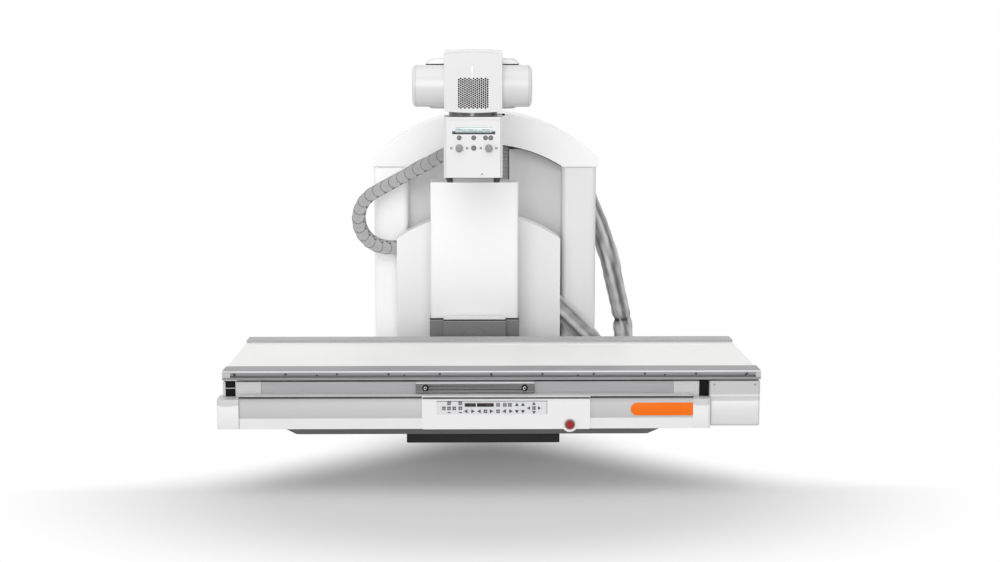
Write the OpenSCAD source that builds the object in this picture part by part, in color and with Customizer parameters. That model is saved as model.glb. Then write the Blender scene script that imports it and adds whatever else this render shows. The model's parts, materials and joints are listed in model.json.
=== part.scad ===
// Remote-controlled fluoroscopy and radiography table: a floor stand with a lift, a tilting table,
// a tube column that travels along the table, a tube head and a collimator.
// Millimetres. X runs along the table, Y runs back from the table to the stand, Z is up.
// The origin is on the floor, in the middle of the four floor anchors.

/* [Table] */
// Length of the tabletop
table_l = 2100; // [1900:10:2300]
// Width of the tabletop over its rails
table_w = 800; // [760:5:840]
// Height of the tabletop's rails above the floor at the lowest lift
table_z = 480; // [470:1:520]
// Shift of the tabletop's middle from the stand's middle plane
table_x = 15; // [0:1:30]
// Height of the tabletop's side rails
rail_h = 37; // [32:1:44]
// Width of the tabletop's side rails
rail_w = 102; // [80:1:120]
// Depth of the tabletop surface below its rails
rail_step = 9; // [4:1:14]
// Thickness of the tabletop panel
panel_t = 21; // [14:1:24]
// Travel of the tabletop to each side
cross_travel = 150; // [100:5:150]

/* [Table frame] */
// Left end of the frame
frame_x0 = -986; // [-1010:2:-960]
// Right end of the frame
frame_x1 = 826; // [800:2:850]
// Width of each end frame
end_w = 101; // [80:1:120]
// Depth of the front and the rear beam
beam_d = 50; // [40:1:60]
// Height of the front beam's lower edge
frame_z = 262; // [262:1:280]
// Height of the pan below the frame
pan_h = 48; // [40:1:60]
// Wall of the pan and of the sheet covers
sheet_t = 4; // [3:0.5:6]
// Depth of the front cover before the front beam
fascia_d = 60; // [50:1:70]
// Height of the front cover
fascia_h = 129; // [110:1:129]

/* [Carriage] */
// Width of the detector carriage
carriage_w = 463; // [400:1:500]
// Middle of the detector carriage and of the column
column_x = -52; // [-80:1:0]

/* [Column] */
// Width of the column cover
column_w = 392; // [340:1:420]
// Depth of the column cover
column_d = 195; // [180:1:200]
// Height of the top of the column
column_top = 1140; // [1100:5:1200]
// Height of the seam between the column cover and its base
column_seam = 530; // [500:5:560]
// Height of the axis on which the column angulates
angle_z = 433; // [420:1:440]
// Width of the sliding mast
mast_w = 200; // [160:5:220]
// Depth of the sliding mast
mast_d = 150; // [120:5:154]
// Travel of the mast
mast_travel = 350; // [200:10:350]

/* [Tube head] */
// Height of the tube axis
tube_z = 1575; // [1540:5:1620]
// Middle of the tube head
tube_x = -58; // [-70:1:-40]
// Radius of the tube housing
tube_r = 84; // [76:1:92]
// Length of the tube housing
tube_l = 482; // [440:2:520]
// Width of the head cover
head_w = 232; // [220:1:250]
// Height of the head cover
head_h = 253; // [244:1:262]
// Depth of the head cover
head_d = 220; // [210:1:240]
// Radius of the holes of the ventilation grille
grille_r = 3.3; // [2.4:0.1:3.5]
// Distance between two columns of the grille
grille_dx = 8.2; // [7.6:0.1:9]
// Distance between two holes in a column of the grille
grille_dz = 8.9; // [8.2:0.1:9.6]

/* [Collimator] */
// Width of the collimator
colli_w = 236; // [210:2:250]
// Depth of the collimator
colli_d = 236; // [210:2:240]
// Height of the collimator
colli_h = 243; // [220:1:243]

/* [Stand] */
// Width over the covers of the stand
stand_w = 1050; // [980:5:1100]
// Depth over the covers of the stand
stand_d = 490; // [440:5:520]
// Width of the recess between the pillars
recess_w = 724; // [680:2:760]
// Width of the slot in which the lift arm runs
slot_w = 230; // [220:2:260]
// Height of the hood's shoulders
shoulder_z = 1228; // [1210:2:1280]
// Rise of the hood from its shoulders to its crown
hood_rise = 210; // [180:2:240]
// Height of the hood's skirt
skirt_h = 48; // [40:1:60]
// Rounding of the upright edges of the covers
cover_r = 24; // [16:1:30]
// Wall of the stand's covers
cover_t = 5; // [4:0.5:7]
// Thickness of the base plate
base_t = 30; // [20:1:40]
// How far the base plate reaches past the covers on each side
base_lip = 5; // [5:1:35]
// Depth of the base plate
base_d = 900; // [850:10:1000]
// Distance of the floor anchors from the edges of the base plate
anchor_edge = 50; // [40:5:70]
// Radius of the anchor holes
anchor_r = 9; // [7:0.5:12]

/* [Lift] */
// Middle of the lift cover and of the tilt axis
tilt_x = -32; // [-40:1:0]
// Height of the tilt axis at the lowest lift
tilt_z = 500; // [490:1:520]
// Radius of the tilt shaft
tilt_r = 100; // [80:1:110]
// Width of the lift cover
arch_w = 757; // [720:1:780]
// Height of the lift cover's shoulders
arch_shoulder_z = 858; // [850:1:880]
// Rise of the lift cover's arch
arch_rise = 122; // [100:1:140]
// Depth of the lift cover
arch_d = 170; // [150:1:176]

/* [Energy chain] */
// Pitch of the chain links
link_pitch = 42; // [40:1:44]
// Height of the chain links
link_h = 58; // [52:1:60]
// Width of the chain links
link_w = 80; // [60:1:90]
// Number of links
link_count = 21; // [18:1:21]
// Bending radius of the chain
chain_r = 136; // [130:1:150]

/* [Hidden] */
$fn = 64;

white = [0.93, 0.93, 0.93];
pale = [0.78, 0.79, 0.8];
grey = [0.6, 0.61, 0.62];
dark = [0.28, 0.29, 0.3];
steel = [0.55, 0.56, 0.58];

// running gaps
gap = 0.3; // between pieces that move past each other
play = 1.5; // between covers that move past each other
fit_gap = 0.1; // between a shaft and its bore

// places from front to back
table_back = -700;
table_front = table_back - table_w;
stand_front = -60;
stand_back = stand_front + stand_d;
column_front = table_back + cross_travel + 40;
column_back = column_front + column_d;
console_t = 38; // thickness of the console's upright
console_back = -262;
arch_front = console_back + 12;
arch_back = arch_front + arch_d;
chain_y = arch_front + 20 + link_w / 2;
beam_front = table_front + 10;
rear_beam_y = table_back - 50 - beam_d;

// heights
rail_z = table_z - rail_h;
panel_z = table_z - rail_step - panel_t;
beam_top = rail_z - 8;
lip_t = 4; // lip of the carriage plate between the front beam and the tabletop
lip_z = beam_top + 1.5;
fascia_z = frame_z - 2;
fascia_top = fascia_z + fascia_h;
pan_z = frame_z - pan_h;
seam_z = shoulder_z - skirt_h;
base_w = stand_w + 2 * base_lip;
anchor_dx = base_w - 2 * anchor_edge;
anchor_dy = base_d - 2 * anchor_edge;
pedestal_h = 130;
post_w = 90;
post_x = 280; // middle of each guide post
post_y = 120; // front of the guide posts
post_rail = 15; // depth of the rails on the posts
post_rail_w = 20;
post_top = shoulder_z + 62;

// ---- shared shapes ----

// A block by its lowest corner and its highest corner
module span(low, high) {
    translate(low) cube(high - low);
}

// A cylinder along Y
module rod_y(x, z, y0, y1, r) {
    translate([x, y0, z]) rotate([-90, 0, 0]) cylinder(r = r, h = y1 - y0);
}

// A cylinder along X
module rod_x(y, z, x0, x1, r) {
    translate([x0, y, z]) rotate([0, 90, 0]) cylinder(r = r, h = x1 - x0);
}

// A rectangle with round corners, by its lowest and highest corner
module round_rect(low, high, r) {
    translate([low[0] + r, low[1]]) square([high[0] - low[0] - 2 * r, high[1] - low[1]]);
    translate([low[0], low[1] + r]) square([high[0] - low[0], high[1] - low[1] - 2 * r]);
    for (x = [low[0] + r, high[0] - r], y = [low[1] + r, high[1] - r]) translate([x, y]) circle(r);
}

// An outline in X and Z drawn out from y0 back to y1
module profile_y(y0, y1) {
    translate([0, y1, 0]) rotate([90, 0, 0]) linear_extrude(y1 - y0) children();
}

// An outline in Y and Z drawn out from x0 to x1
module profile_x(x0, x1) {
    translate([x0, 0, 0]) rotate([90, 0, 90]) linear_extrude(x1 - x0) children();
}

// Radius of the arc over a chord of width w with a rise h
function arc_r(w, h) = (w * w / 4 + h * h) / (2 * h);

// An arched front: straight sides from z0 up to z1, then an arc that rises h more
module arch_outline(x, w, z0, z1, h) {
    r = arc_r(w, h);
    translate([x - w / 2, z0]) square([w, z1 - z0]);
    intersection() {
        translate([x, z1 + h - r]) circle(r, $fn = 180);
        translate([x - w / 2, z1 - 1]) square([w, h + 2]);
    }
}

// ---- stand ----

module base_plate() {
    color(dark) difference() {
        linear_extrude(base_t) round_rect([-base_w / 2, -base_d / 2], [base_w / 2, base_d / 2], 20);
        for (x = [-anchor_dx / 2, anchor_dx / 2], y = [-anchor_dy / 2, anchor_dy / 2])
            translate([x, y, -1]) cylinder(r = anchor_r, h = base_t + 2);
    }
}

// Cast pedestal that ties the guide frame to the base plate
module pedestal() {
    inset = 45;
    x = stand_w / 2 - inset - 40;
    y0 = post_y - 66;
    y1 = stand_back - inset;
    color(dark) difference() {
        span([-x, y0, base_t], [x, y1, base_t + pedestal_h]);
        for (s = [-1, 1]) translate([s * (post_x + 110), 0, 0])
            span([-30, y0 - 1, base_t + 40], [30, y0 + 60, base_t + pedestal_h + 1]);
    }
}

// Welded frame of two guide posts, their rails and the crosshead
module guide_frame() {
    z0 = base_t + pedestal_h;
    color(steel) {
        for (s = [-1, 1]) {
            span([s * post_x - post_w / 2, post_y, z0],
                [s * post_x + post_w / 2, post_y + post_w, post_top]);
            span([s * post_x - post_rail_w / 2, post_y - post_rail, z0 + 10],
                [s * post_x + post_rail_w / 2, post_y, post_top - 10]);
        }
        span([-post_x - post_w / 2, post_y, post_top],
            [post_x + post_w / 2, post_y + post_w, post_top + 30]);
    }
}

screw_r = 20;
screw_y = post_y + post_w / 2;
module lead_screw() {
    z0 = base_t + pedestal_h;
    color(steel) {
        translate([0, screw_y, z0]) cylinder(r = screw_r, h = post_top - z0);
        translate([0, screw_y, z0]) cylinder(r = screw_r + 14, h = 16);
        translate([0, screw_y, post_top - 16]) cylinder(r = screw_r + 14, h = 16);
    }
}

// Plan of one pillar cover, right side: side wall, rounded front and return to the recess
recess_back = 80; // depth of the recess behind the pillar fronts
module pillar_plan(in) {
    x1 = stand_w / 2 - in;
    x0 = recess_w / 2 + in;
    y0 = stand_front + in;
    r = cover_r - in;
    translate([x0, y0 + r]) square([x1 - x0, recess_back - r]);
    translate([x0 + r, y0]) square([x1 - x0 - 2 * r, r + 1]);
    for (x = [x0 + r, x1 - r]) translate([x, y0 + r]) circle(r);
}

// One pillar cover: a front channel and a side wall that runs to the back
module pillar_cover() {
    x1 = stand_w / 2;
    translate([0, 0, base_t]) linear_extrude(seam_z - base_t) {
        difference() {
            pillar_plan(0);
            pillar_plan(cover_t);
            translate([recess_w / 2 + cover_t, stand_front + recess_back - 20])
                square([x1 - recess_w / 2 - 2 * cover_t, 40]);
        }
        translate([x1 - cover_t, stand_front + recess_back - 1])
            square([cover_t, stand_d - recess_back + 1]);
    }
}

module left_pillar_cover() {
    color(white) mirror([1, 0, 0]) pillar_cover();
}

// Route of the sleeve from the stand down, round its hanging loop and up to the lift. The first number of
// a point is its distance outside the stand's side.
sleeve_points = [[-55, 130, 1075], [-22, 130, 1003], [11, 130, 928], [42, 130, 850], [67, 130, 770],
    [89, 130, 690], [109, 130, 605], [127, 130, 530], [143, 130, 460], [153, 130, 393], [157, 130, 320],
    [157, 130, 250], [148, 110, 169], [124, 56, 110], [91, -18, 88], [58, -91, 110], [34, -145, 169],
    [24, -165, 250], [9, -165, 318], [-27, -165, 372], [-70, -165, 415], [-112, -165, 457],
    [-154, -165, 499], [-190, -165, 535], [-220, -165, 565]];
sleeve_route = [for (p = sleeve_points) [stand_w / 2 + p[0], p[1], p[2]]];
sleeve_r = 42;
clamp_r = sleeve_r + 4;
clamp_h = 20; // thickness of the clamps at both ends of the sleeve
sleeve_port = 340; // length of the passage cut along the sleeve
sleeve_lean = atan2(sleeve_route[1][0] - sleeve_route[0][0], sleeve_route[0][2] - sleeve_route[1][2]);
module right_pillar_cover() {
    top = sleeve_route[0];
    clamp_z = top[2] + clamp_r * sin(sleeve_lean) + gap;
    color(white) {
        difference() {
            pillar_cover();
            translate(sleeve_route[1]) rotate([0, -sleeve_lean, 0])
                translate([0, 0, -sleeve_port / 2]) cylinder(r = sleeve_r + 8, h = sleeve_port);
        }
        // clamp that holds the upper end of the sleeve
        translate(top) rotate([0, -sleeve_lean, 0])
            translate([0, 0, gap]) cylinder(r = clamp_r, h = clamp_h);
        span([top[0], top[1] - 20, clamp_z], [stand_w / 2 - cover_t, top[1] + 20, clamp_z + 8]);
    }
}

// Curved sheet from the pillar's return to the edge of the slot
module recess_panel() {
    x1 = recess_w / 2 + cover_t;
    x0 = slot_w / 2;
    y1 = stand_front + recess_back;
    bow = 26;
    r = arc_r(x1 - x0, bow);
    translate([0, 0, base_t]) linear_extrude(post_top - 30 - base_t) {
        intersection() {
            difference() {
                translate([(x0 + x1) / 2, y1 + bow - r]) circle(r, $fn = 180);
                translate([(x0 + x1) / 2, y1 + bow - r]) circle(r - cover_t + 1, $fn = 180);
            }
            translate([x0, y1]) square([x1 - x0, bow + 1]);
        }
        translate([x0, y1]) square([cover_t - 1, 30]);
        translate([x1 - cover_t, y1]) square([cover_t, 12]);
    }
}

module recess_panels() {
    color(pale) {
        recess_panel();
        mirror([1, 0, 0]) recess_panel();
    }
}

hood_lip = 4; // how far the hood stands proud of the pillars
module hood() {
    w = stand_w + 2 * hood_lip;
    wall = cover_t + hood_lip;
    low_r = arc_r(recess_w, hood_rise / 2);
    y0 = stand_front - hood_lip;
    y1 = stand_front + cover_t;
    color(white) {
        profile_y(y0, y1) difference() {
            arch_outline(0, w, seam_z, shoulder_z, hood_rise);
            // arched lower edge of the front
            intersection() {
                translate([0, seam_z + hood_rise / 2 - low_r]) circle(low_r, $fn = 180);
                translate([-recess_w / 2, seam_z - 1]) square([recess_w, hood_rise]);
            }
        }
        profile_y(y1, stand_back - cover_t) difference() {
            arch_outline(0, w, seam_z, shoulder_z, hood_rise);
            arch_outline(0, w - 2 * wall, seam_z - 1, shoulder_z, hood_rise - wall);
        }
        profile_y(stand_back - cover_t, stand_back) arch_outline(0, w, seam_z, shoulder_z, hood_rise);
    }
}

module back_cover() {
    x = stand_w / 2 - cover_t;
    color(white) difference() {
        span([-x, stand_back - cover_t, base_t], [x, stand_back, seam_z]);
        for (i = [0:7]) translate([0, stand_back, 240 + 22 * i])
            span([-120, -cover_t - 1, 0], [120, 1, 8]);
    }
}

// ---- cable sleeve ----

sleeve_sides = 12;
sleeve_end = sleeve_route[len(sleeve_route) - 1];

function unit(v) = v / norm(v);
// Direction of a route from its point i to the next
function way(route, i) = unit(route[i + 1] - route[i]);
// A ring of points square to the direction t round the point p
function ring(p, t, r, n) =
    let (a = unit(cross(t, [1, 0, 1])), b = cross(unit(t), a))
    [for (i = [0:n - 1]) p + r * (cos(360 * i / n) * a + sin(360 * i / n) * b)];

// A tube of n sides along the points of a route
module sweep(route, r, n) {
    last = len(route) - 1;
    points = [for (i = [0:last]) each
        ring(route[i], way(route, min(i, last - 1)) + way(route, max(i - 1, 0)), r, n)];
    walls = [for (i = [0:last - 1], j = [0:n - 1])
        [i * n + j, (i + 1) * n + j, (i + 1) * n + (j + 1) % n, i * n + (j + 1) % n]];
    start = [for (j = [0:n - 1]) j];
    end = [for (j = [n - 1:-1:0]) last * n + j];
    polyhedron(points = points, faces = concat([start], walls, [end]), convexity = 6);
}

module cable_sleeve() {
    color(grey) sweep(sleeve_route, sleeve_r, sleeve_sides);
}

// ---- lift ----

slide_z0 = base_t + pedestal_h + 40;
slide_h = 420;
slide_z1 = slide_z0 + slide_h;
slide_t = 35;
slide_y = post_y - post_rail - gap - 15 - slide_t;
shoe_w = 60;
shoe_h = 80;
module lift_slide() {
    rail_x = post_rail_w / 2 + gap;
    side = (post_w + 10) / 2;
    color(steel) {
        span([-post_x - side, slide_y, slide_z0], [post_x + side, slide_y + slide_t, slide_z1]);
        for (s = [-1, 1], z = [slide_z0 + 20, slide_z1 - 20 - shoe_h]) difference() {
            span([s * post_x - shoe_w / 2, slide_y + slide_t, z],
                [s * post_x + shoe_w / 2, post_y - gap, z + shoe_h]);
            span([s * post_x - rail_x, post_y - post_rail - gap, z - 1],
                [s * post_x + rail_x, post_y, z + shoe_h + 1]);
        }
    }
}

// Nut housing and gear motor that climb the fixed screw
nut_w = 120;
nut_h = 110;
nut_up = 150; // height of the nut over the lower end of the slide
nut_z = slide_z0 + nut_up;
lift_motor_r = 42;
lift_motor_l = 150;
module lift_drive() {
    color(grey) difference() {
        union() {
            span([-nut_w / 2, slide_y + slide_t, nut_z], [nut_w / 2, screw_y + 50, nut_z + nut_h]);
            rod_x(screw_y, nut_z + nut_h / 2, nut_w / 2, nut_w / 2 + lift_motor_l, lift_motor_r);
        }
        translate([0, screw_y, nut_z - 1]) cylinder(r = screw_r + gap, h = nut_h + 2);
    }
}

arm_y = arch_front + 100; // front of the arm's mounting plate
plate_t = 25;
plate_top = arch_shoulder_z - 58;
module lift_arm() {
    half = slot_w / 2 - 15;
    color(steel) {
        span([-half, arm_y + plate_t, tilt_z - 170], [half, slide_y, tilt_z + 120]);
        difference() {
            span([tilt_x - 200, arm_y, tilt_z - 200], [tilt_x + 200, arm_y + plate_t, plate_top]);
            rod_y(tilt_x, tilt_z, arm_y - 1, arm_y + plate_t - 5, tilt_r + 5);
        }
        // crossbars that carry the lift cover
        for (z = [tilt_z - 200, tilt_z + 140])
            span([tilt_x - arch_w / 2 + cover_t, arm_y, z],
                [tilt_x + arch_w / 2 - cover_t, arm_y + plate_t, z + 40]);
        // shelf for the lower end of the energy chain
        span([tilt_x - 345, chain_y - link_w / 2, chain_end_z - link_h / 2 - 6],
            [tilt_x - 190, arm_y + plate_t, chain_end_z - link_h / 2 - gap]);
        span([tilt_x - 345, arm_y, chain_end_z - link_h / 2 - 46],
            [tilt_x - 200, arm_y + plate_t, chain_end_z - link_h / 2 - 6]);
        // clamp for the lower end of the cable sleeve
        translate(sleeve_end) rotate([0, -45, 0])
            translate([0, 0, gap]) cylinder(r = clamp_r, h = clamp_h);
        span([tilt_x + 200, arm_y, sleeve_end[2] + gap],
            [sleeve_end[0], arm_y + plate_t, sleeve_end[2] + 90]);
    }
}
module tilt_bearing() {
    color(steel) difference() {
        rod_y(tilt_x, tilt_z, arm_y - 84, arm_y, tilt_r + 62);
        rod_y(tilt_x, tilt_z, arm_y - 85, arm_y + 1, tilt_r + fit_gap);
    }
}

// Worm gear unit and motor of the tilt, over the bearing
gear_w = 200;
gear_h = 90;
gear_d = 70;
tilt_motor_r = 40;
tilt_motor_l = 190;
module tilt_drive() {
    z0 = tilt_z + tilt_r + 75;
    x1 = tilt_x + gear_w / 2;
    color(grey) {
        span([tilt_x - gear_w / 2, arm_y - gear_d, z0], [x1, arm_y, z0 + gear_h]);
        rod_x(arm_y - tilt_motor_r - 2, z0 + gear_h / 2, x1, x1 + tilt_motor_l, tilt_motor_r);
    }
}

arch_z0 = 160;
chain_end_z = arch_shoulder_z - 44;
module arch_cover() {
    t = cover_t;
    color(white) difference() {
        profile_y(arch_front, arch_back) arch_outline(tilt_x, arch_w, arch_z0, arch_shoulder_z, arch_rise);
        profile_y(arch_front + t, arch_back + 1)
            arch_outline(tilt_x, arch_w - 2 * t, arch_z0 - 1, arch_shoulder_z - t / 3, arch_rise - t / 2);
        rod_y(tilt_x, tilt_z, arch_front - 1, arch_front + t + 1, tilt_r + 10);
        // passage of the energy chain on the left
        span([tilt_x - arch_w / 2 - 1, chain_y - link_w / 2 - 4, chain_end_z - link_h / 2 - 4],
            [tilt_x - arch_w / 2 + t + 1, chain_y + link_w / 2 + 4, chain_end_z + link_h / 2 + 4]);
        // passage of the cable sleeve on the right
        translate(sleeve_end) rotate([0, 135, 0]) cylinder(r = sleeve_r + 2, h = 160);
    }
}

// ---- energy chain ----

chain_slope = 28.5;
chain_out = 42.5; // how far outside the lift cover the bend ends
chain_bottom = [tilt_x - arch_w / 2 - chain_out, chain_end_z]; // start of the level run
chain_centre = chain_bottom + [0, chain_r];
chain_bend_end = chain_centre + chain_r * [cos(90 + chain_slope), sin(90 + chain_slope)];
chain_level = 74; // level run into the lift cover
chain_bend = (180 - chain_slope) * PI / 180 * chain_r;
// A point of the chain's middle line, s millimetres back from its lower end
function chain_at(s) =
    s < chain_level ? chain_bottom + [chain_level - s, 0]
    : s < chain_level + chain_bend
        ? let (a = 270 - (s - chain_level) / chain_r * 180 / PI) chain_centre + chain_r * [cos(a), sin(a)]
        : chain_bend_end + (s - chain_level - chain_bend) * [cos(chain_slope), sin(chain_slope)];

// One link from the origin along +X. Its outer cheeks are round at the origin and hollowed at the pitch,
// where its inner cheeks carry a tongue with the pin that turns in the next link's outer cheeks.
chain_pin_r = 6;
cheek_t = 6;
module chain_link() {
    r = link_h / 2;
    tongue = r / 2;
    body = link_pitch - 10;
    y_out = link_w / 2;
    y_mid = y_out - cheek_t;
    y_in = y_mid - gap - cheek_t;
    for (s = [0, 1]) mirror([0, s, 0]) {
        profile_y(y_mid, y_out) difference() {
            union() {
                circle(r);
                translate([0, -r]) square([link_pitch, 2 * r]);
            }
            translate([link_pitch, 0]) circle(r + 1);
            circle(chain_pin_r + gap);
        }
        profile_y(y_in, y_mid - gap) {
            difference() {
                translate([0, -r + 3]) square([body, 2 * r - 6]);
                circle(tongue + 1);
            }
            translate([link_pitch, 0]) circle(tongue);
            translate([body - 1, -tongue]) square([link_pitch - body + 1, 2 * tongue]);
        }
        rod_y(link_pitch, 0, y_in, y_out, chain_pin_r);
        // joggles between the outer and the inner cheek
        for (z = [-r + 4, r - 11]) span([5, y_in, z], [15, y_out, z + 7]);
    }
    // lids across the link, the longer one on the outside of the bend
    span([-3, -y_mid + gap, r - 6], [link_pitch - 5, y_mid - gap, r]);
    span([8, -y_mid + gap, -r], [body - 2, y_mid - gap, -r + 6]);
}

module energy_chain() {
    color(grey) for (i = [0:link_count - 1]) {
        p = chain_at(i * link_pitch);
        q = chain_at((i + 1) * link_pitch);
        translate([p[0], chain_y, p[1]]) rotate([0, -atan2(q[1] - p[1], q[0] - p[0]), 0]) chain_link();
    }
}

// ---- table frame ----

hub_flange_t = 8;
module tilt_hub() {
    color(steel) {
        rod_y(tilt_x, tilt_z, console_back, console_back + hub_flange_t, tilt_r + 8);
        rod_y(tilt_x, tilt_z, console_back, arm_y - 3, tilt_r);
    }
}

console_x = -18;
console_h = 92;
console_w = 628;
console_front = table_front + 300;
console_neck = 200; // half of the console's width where it passes under the column
console_wall = 10;
module support_console() {
    z0 = pan_z - console_h;
    y_neck = table_back + 10;
    round_r = tilt_r + 70;
    x = console_w / 2;
    w = console_wall;
    color(dark) difference() {
        union() {
            translate([0, 0, z0]) linear_extrude(console_h)
                round_rect([console_x - x, console_front], [console_x + x, y_neck], 12);
            span([tilt_x - console_neck, y_neck - 20, z0], [tilt_x + console_neck, console_back, pan_z]);
            profile_y(console_back - console_t, console_back) {
                translate([tilt_x, tilt_z]) circle(round_r, $fn = 180);
                polygon([[tilt_x - console_neck, pan_z - 1], [tilt_x + console_neck, pan_z - 1],
                    [tilt_x + round_r - 6, tilt_z], [tilt_x - round_r + 6, tilt_z]]);
            }
            for (i = [0:7]) {
                a = 45 * i + 22.5;
                rod_y(tilt_x + (tilt_r + 30) * cos(a), tilt_z + (tilt_r + 30) * sin(a),
                    console_back - console_t - 6, console_back - console_t, 9);
            }
        }
        // hollow of the welded box
        span([console_x - x + w, console_front + w, z0 + w], [console_x + x - w, y_neck - w, pan_z - w]);
        span([tilt_x - console_neck + w, y_neck - w - 1, z0 + w],
            [tilt_x + console_neck - w, console_back - w, pan_z - w]);
    }
}

// Slope of the pan's walls: how far its floor is set in from its rim
pan_in = 50;
pan_y0 = beam_front;
pan_y1 = rear_beam_y + beam_d;
pan_x0 = -796;
pan_x1 = 671;
member_x = 240; // middle of each cross member from the middle of the console
member_w = 60;
module cross_members() {
    y0 = pan_y0 + pan_in + sheet_t + 6;
    y1 = pan_y1 - pan_in - sheet_t - 6;
    color(steel) for (x = [console_x - member_x, console_x + member_x])
        profile_x(x - member_w / 2, x + member_w / 2)
            polygon([[y0, pan_z + sheet_t], [y1, pan_z + sheet_t], [y1 + pan_in - 8, frame_z - 6],
                [y1 + pan_in - 8, frame_z], [y0 - pan_in + 8, frame_z], [y0 - pan_in + 8, frame_z - 6]]);
}

// A rectangular tube along X with the wall t
beam_t = 5;
module beam(low, high) {
    difference() {
        span(low, high);
        span(low + [-1, beam_t, beam_t], high + [1, -beam_t, -beam_t]);
    }
}

module front_beam() {
    color(pale) beam([frame_x0 + end_w, beam_front, frame_z],
        [frame_x1 - end_w, beam_front + beam_d, beam_top]);
}

rear_beam_top = beam_top - 55;
module rear_beam() {
    color(pale) beam([frame_x0 + end_w, rear_beam_y, frame_z],
        [frame_x1 - end_w, rear_beam_y + beam_d, rear_beam_top]);
}

// Closed welded boxes at both ends of the frame
module end_frames() {
    color(pale) for (x = [frame_x0, frame_x1 - end_w]) difference() {
        span([x, beam_front, frame_z], [x + end_w, table_back - 30, beam_top]);
        span([x + beam_t, beam_front + beam_t, frame_z + beam_t],
            [x + end_w - beam_t, table_back - 30 - beam_t, beam_top - beam_t]);
    }
}

guide_t = 15; // depth and height of the guide rails
front_guide_z = beam_top - 90;
rear_guide_z = rear_beam_top - 60;
module guide_rails() {
    color(steel) {
        span([frame_x0 + end_w, beam_front + beam_d, front_guide_z],
            [frame_x1 - end_w, beam_front + beam_d + guide_t, front_guide_z + guide_t]);
        span([frame_x0 + end_w, rear_beam_y + beam_d, rear_guide_z],
            [frame_x1 - end_w, rear_beam_y + beam_d + guide_t, rear_guide_z + guide_t]);
    }
}

// Slides across the end frames that carry the tabletop
slide_x = [frame_x0 + end_w / 2, frame_x1 - end_w / 2];
slide_w = 30;
module cross_slides() {
    color(steel) for (x = slide_x)
        span([x - slide_w / 2, table_front + cross_travel, beam_top],
            [x + slide_w / 2, table_back - cross_travel, rail_z - gap]);
}

// One sloped wall set of the pan, taken in by the wall t
module pan_block(t) {
    top = frame_z + (t > 0 ? 1 : 0);
    slope = pan_in / pan_h;
    z0 = pan_z + t;
    in0 = pan_in - slope * t + t * sqrt(1 + slope * slope);
    in1 = in0 - slope * (top - z0);
    intersection() {
        profile_x(pan_x0, pan_x1) polygon([[pan_y0 + in0, z0], [pan_y1 - in0, z0],
            [pan_y1 - in1, top], [pan_y0 + in1, top]]);
        profile_y(pan_y0 - 1, pan_y1 + 1) polygon([[pan_x0 + in0, z0], [pan_x1 - in0, z0],
            [pan_x1 - in1, top], [pan_x0 + in1, top]]);
    }
}

module bottom_pan() {
    color(dark) difference() {
        pan_block(0);
        pan_block(sheet_t);
    }
}

fascia_x0 = frame_x0 + 19;
fascia_x1 = frame_x1 - 31;
panel_step = 3; // depth of the grey fields set into the front cover
box_x0 = -258;
box_x1 = 394;
module fascia() {
    y0 = beam_front - fascia_d;
    color(white) difference() {
        span([fascia_x0, y0, fascia_z], [fascia_x1, beam_front, fascia_top]);
        span([fascia_x0 - 1, y0 + sheet_t + panel_step, fascia_z + sheet_t],
            [fascia_x1 + 1, beam_front + 1, fascia_top - sheet_t]);
        for (x = [[fascia_x0, box_x0], [box_x1, fascia_x1]])
            span([x[0] - 1, y0 - 1, fascia_top - 87], [x[1] + 1, y0 + panel_step, fascia_top - sheet_t]);
    }
}

// Rounded end pieces of the front cover, with the tongues that fasten them to the frame
module fascia_caps() {
    y0 = beam_front - fascia_d;
    y1 = beam_front + 40;
    top = fascia_top - 13;
    x1 = frame_x1 + box_gap - 1;
    color(white) {
        translate([0, 0, fascia_z]) linear_extrude(top - fascia_z) {
            round_rect([frame_x0 - 66, y0], [frame_x0 - 1, y1], 14);
            translate([frame_x0 - 20, y0]) square([fascia_x0 - frame_x0 + 20, fascia_d - 14]);
            round_rect([fascia_x1 + 6, y0], [x1, beam_front - 11], 14);
            translate([fascia_x1, y0]) square([30, fascia_d - 14]);
        }
        span([frame_x0 - 20, y1 - 40, fascia_z + 20], [frame_x0, y1 - 10, fascia_z + 90]);
        span([fascia_x1 + 6, beam_front - 20, fascia_z + 20], [fascia_x1 + 30, beam_front, fascia_z + 90]);
    }
}

box_gap = 39; // gap between the right end frame and the drive box
module end_box() {
    x0 = frame_x1 + box_gap;
    x1 = table_x + table_l / 2;
    color(white) {
        translate([0, 0, frame_z - 4]) linear_extrude(beam_top + 2 - frame_z + 4)
            round_rect([x0, table_front], [x1, table_back - 40], 12);
        span([frame_x1, table_front + 160, frame_z + 10], [x0, table_back - 160, fascia_top - 20]);
    }
}

stop_x = 315;
stop_z = fascia_z + 20;
stop_r = 31;
box_t = 8;
box_y = beam_front - fascia_d - box_t;
keys_x0 = -201;
keys_x1 = 227;
keys_z0 = fascia_top - 70;
keys_z1 = fascia_top - 17;
module control_box() {
    color(white) difference() {
        union() {
            profile_y(box_y, box_y + box_t) round_rect([box_x0, fascia_z], [box_x1, fascia_top - 4], 6);
            rod_y(stop_x, stop_z, box_y - 4, box_y + box_t, stop_r);
        }
        span([keys_x0, box_y - 1, keys_z0], [keys_x1, box_y + 3, keys_z1]);
        rod_y(stop_x, stop_z, box_y - 5, box_y + box_t + 1, 8 + gap);
    }
}

key_w = 11;
// Columns of the key field from its left edge, and rows from its lower edge
mode_cols = [31, 51, 70, 94];
row_low = 12;
row_mid = 24;
row_high = 37;
row_top = 44;
win_h = 12; // height of the two display windows
pad_x = 378; // middle of the ring of arrow keys

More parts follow.
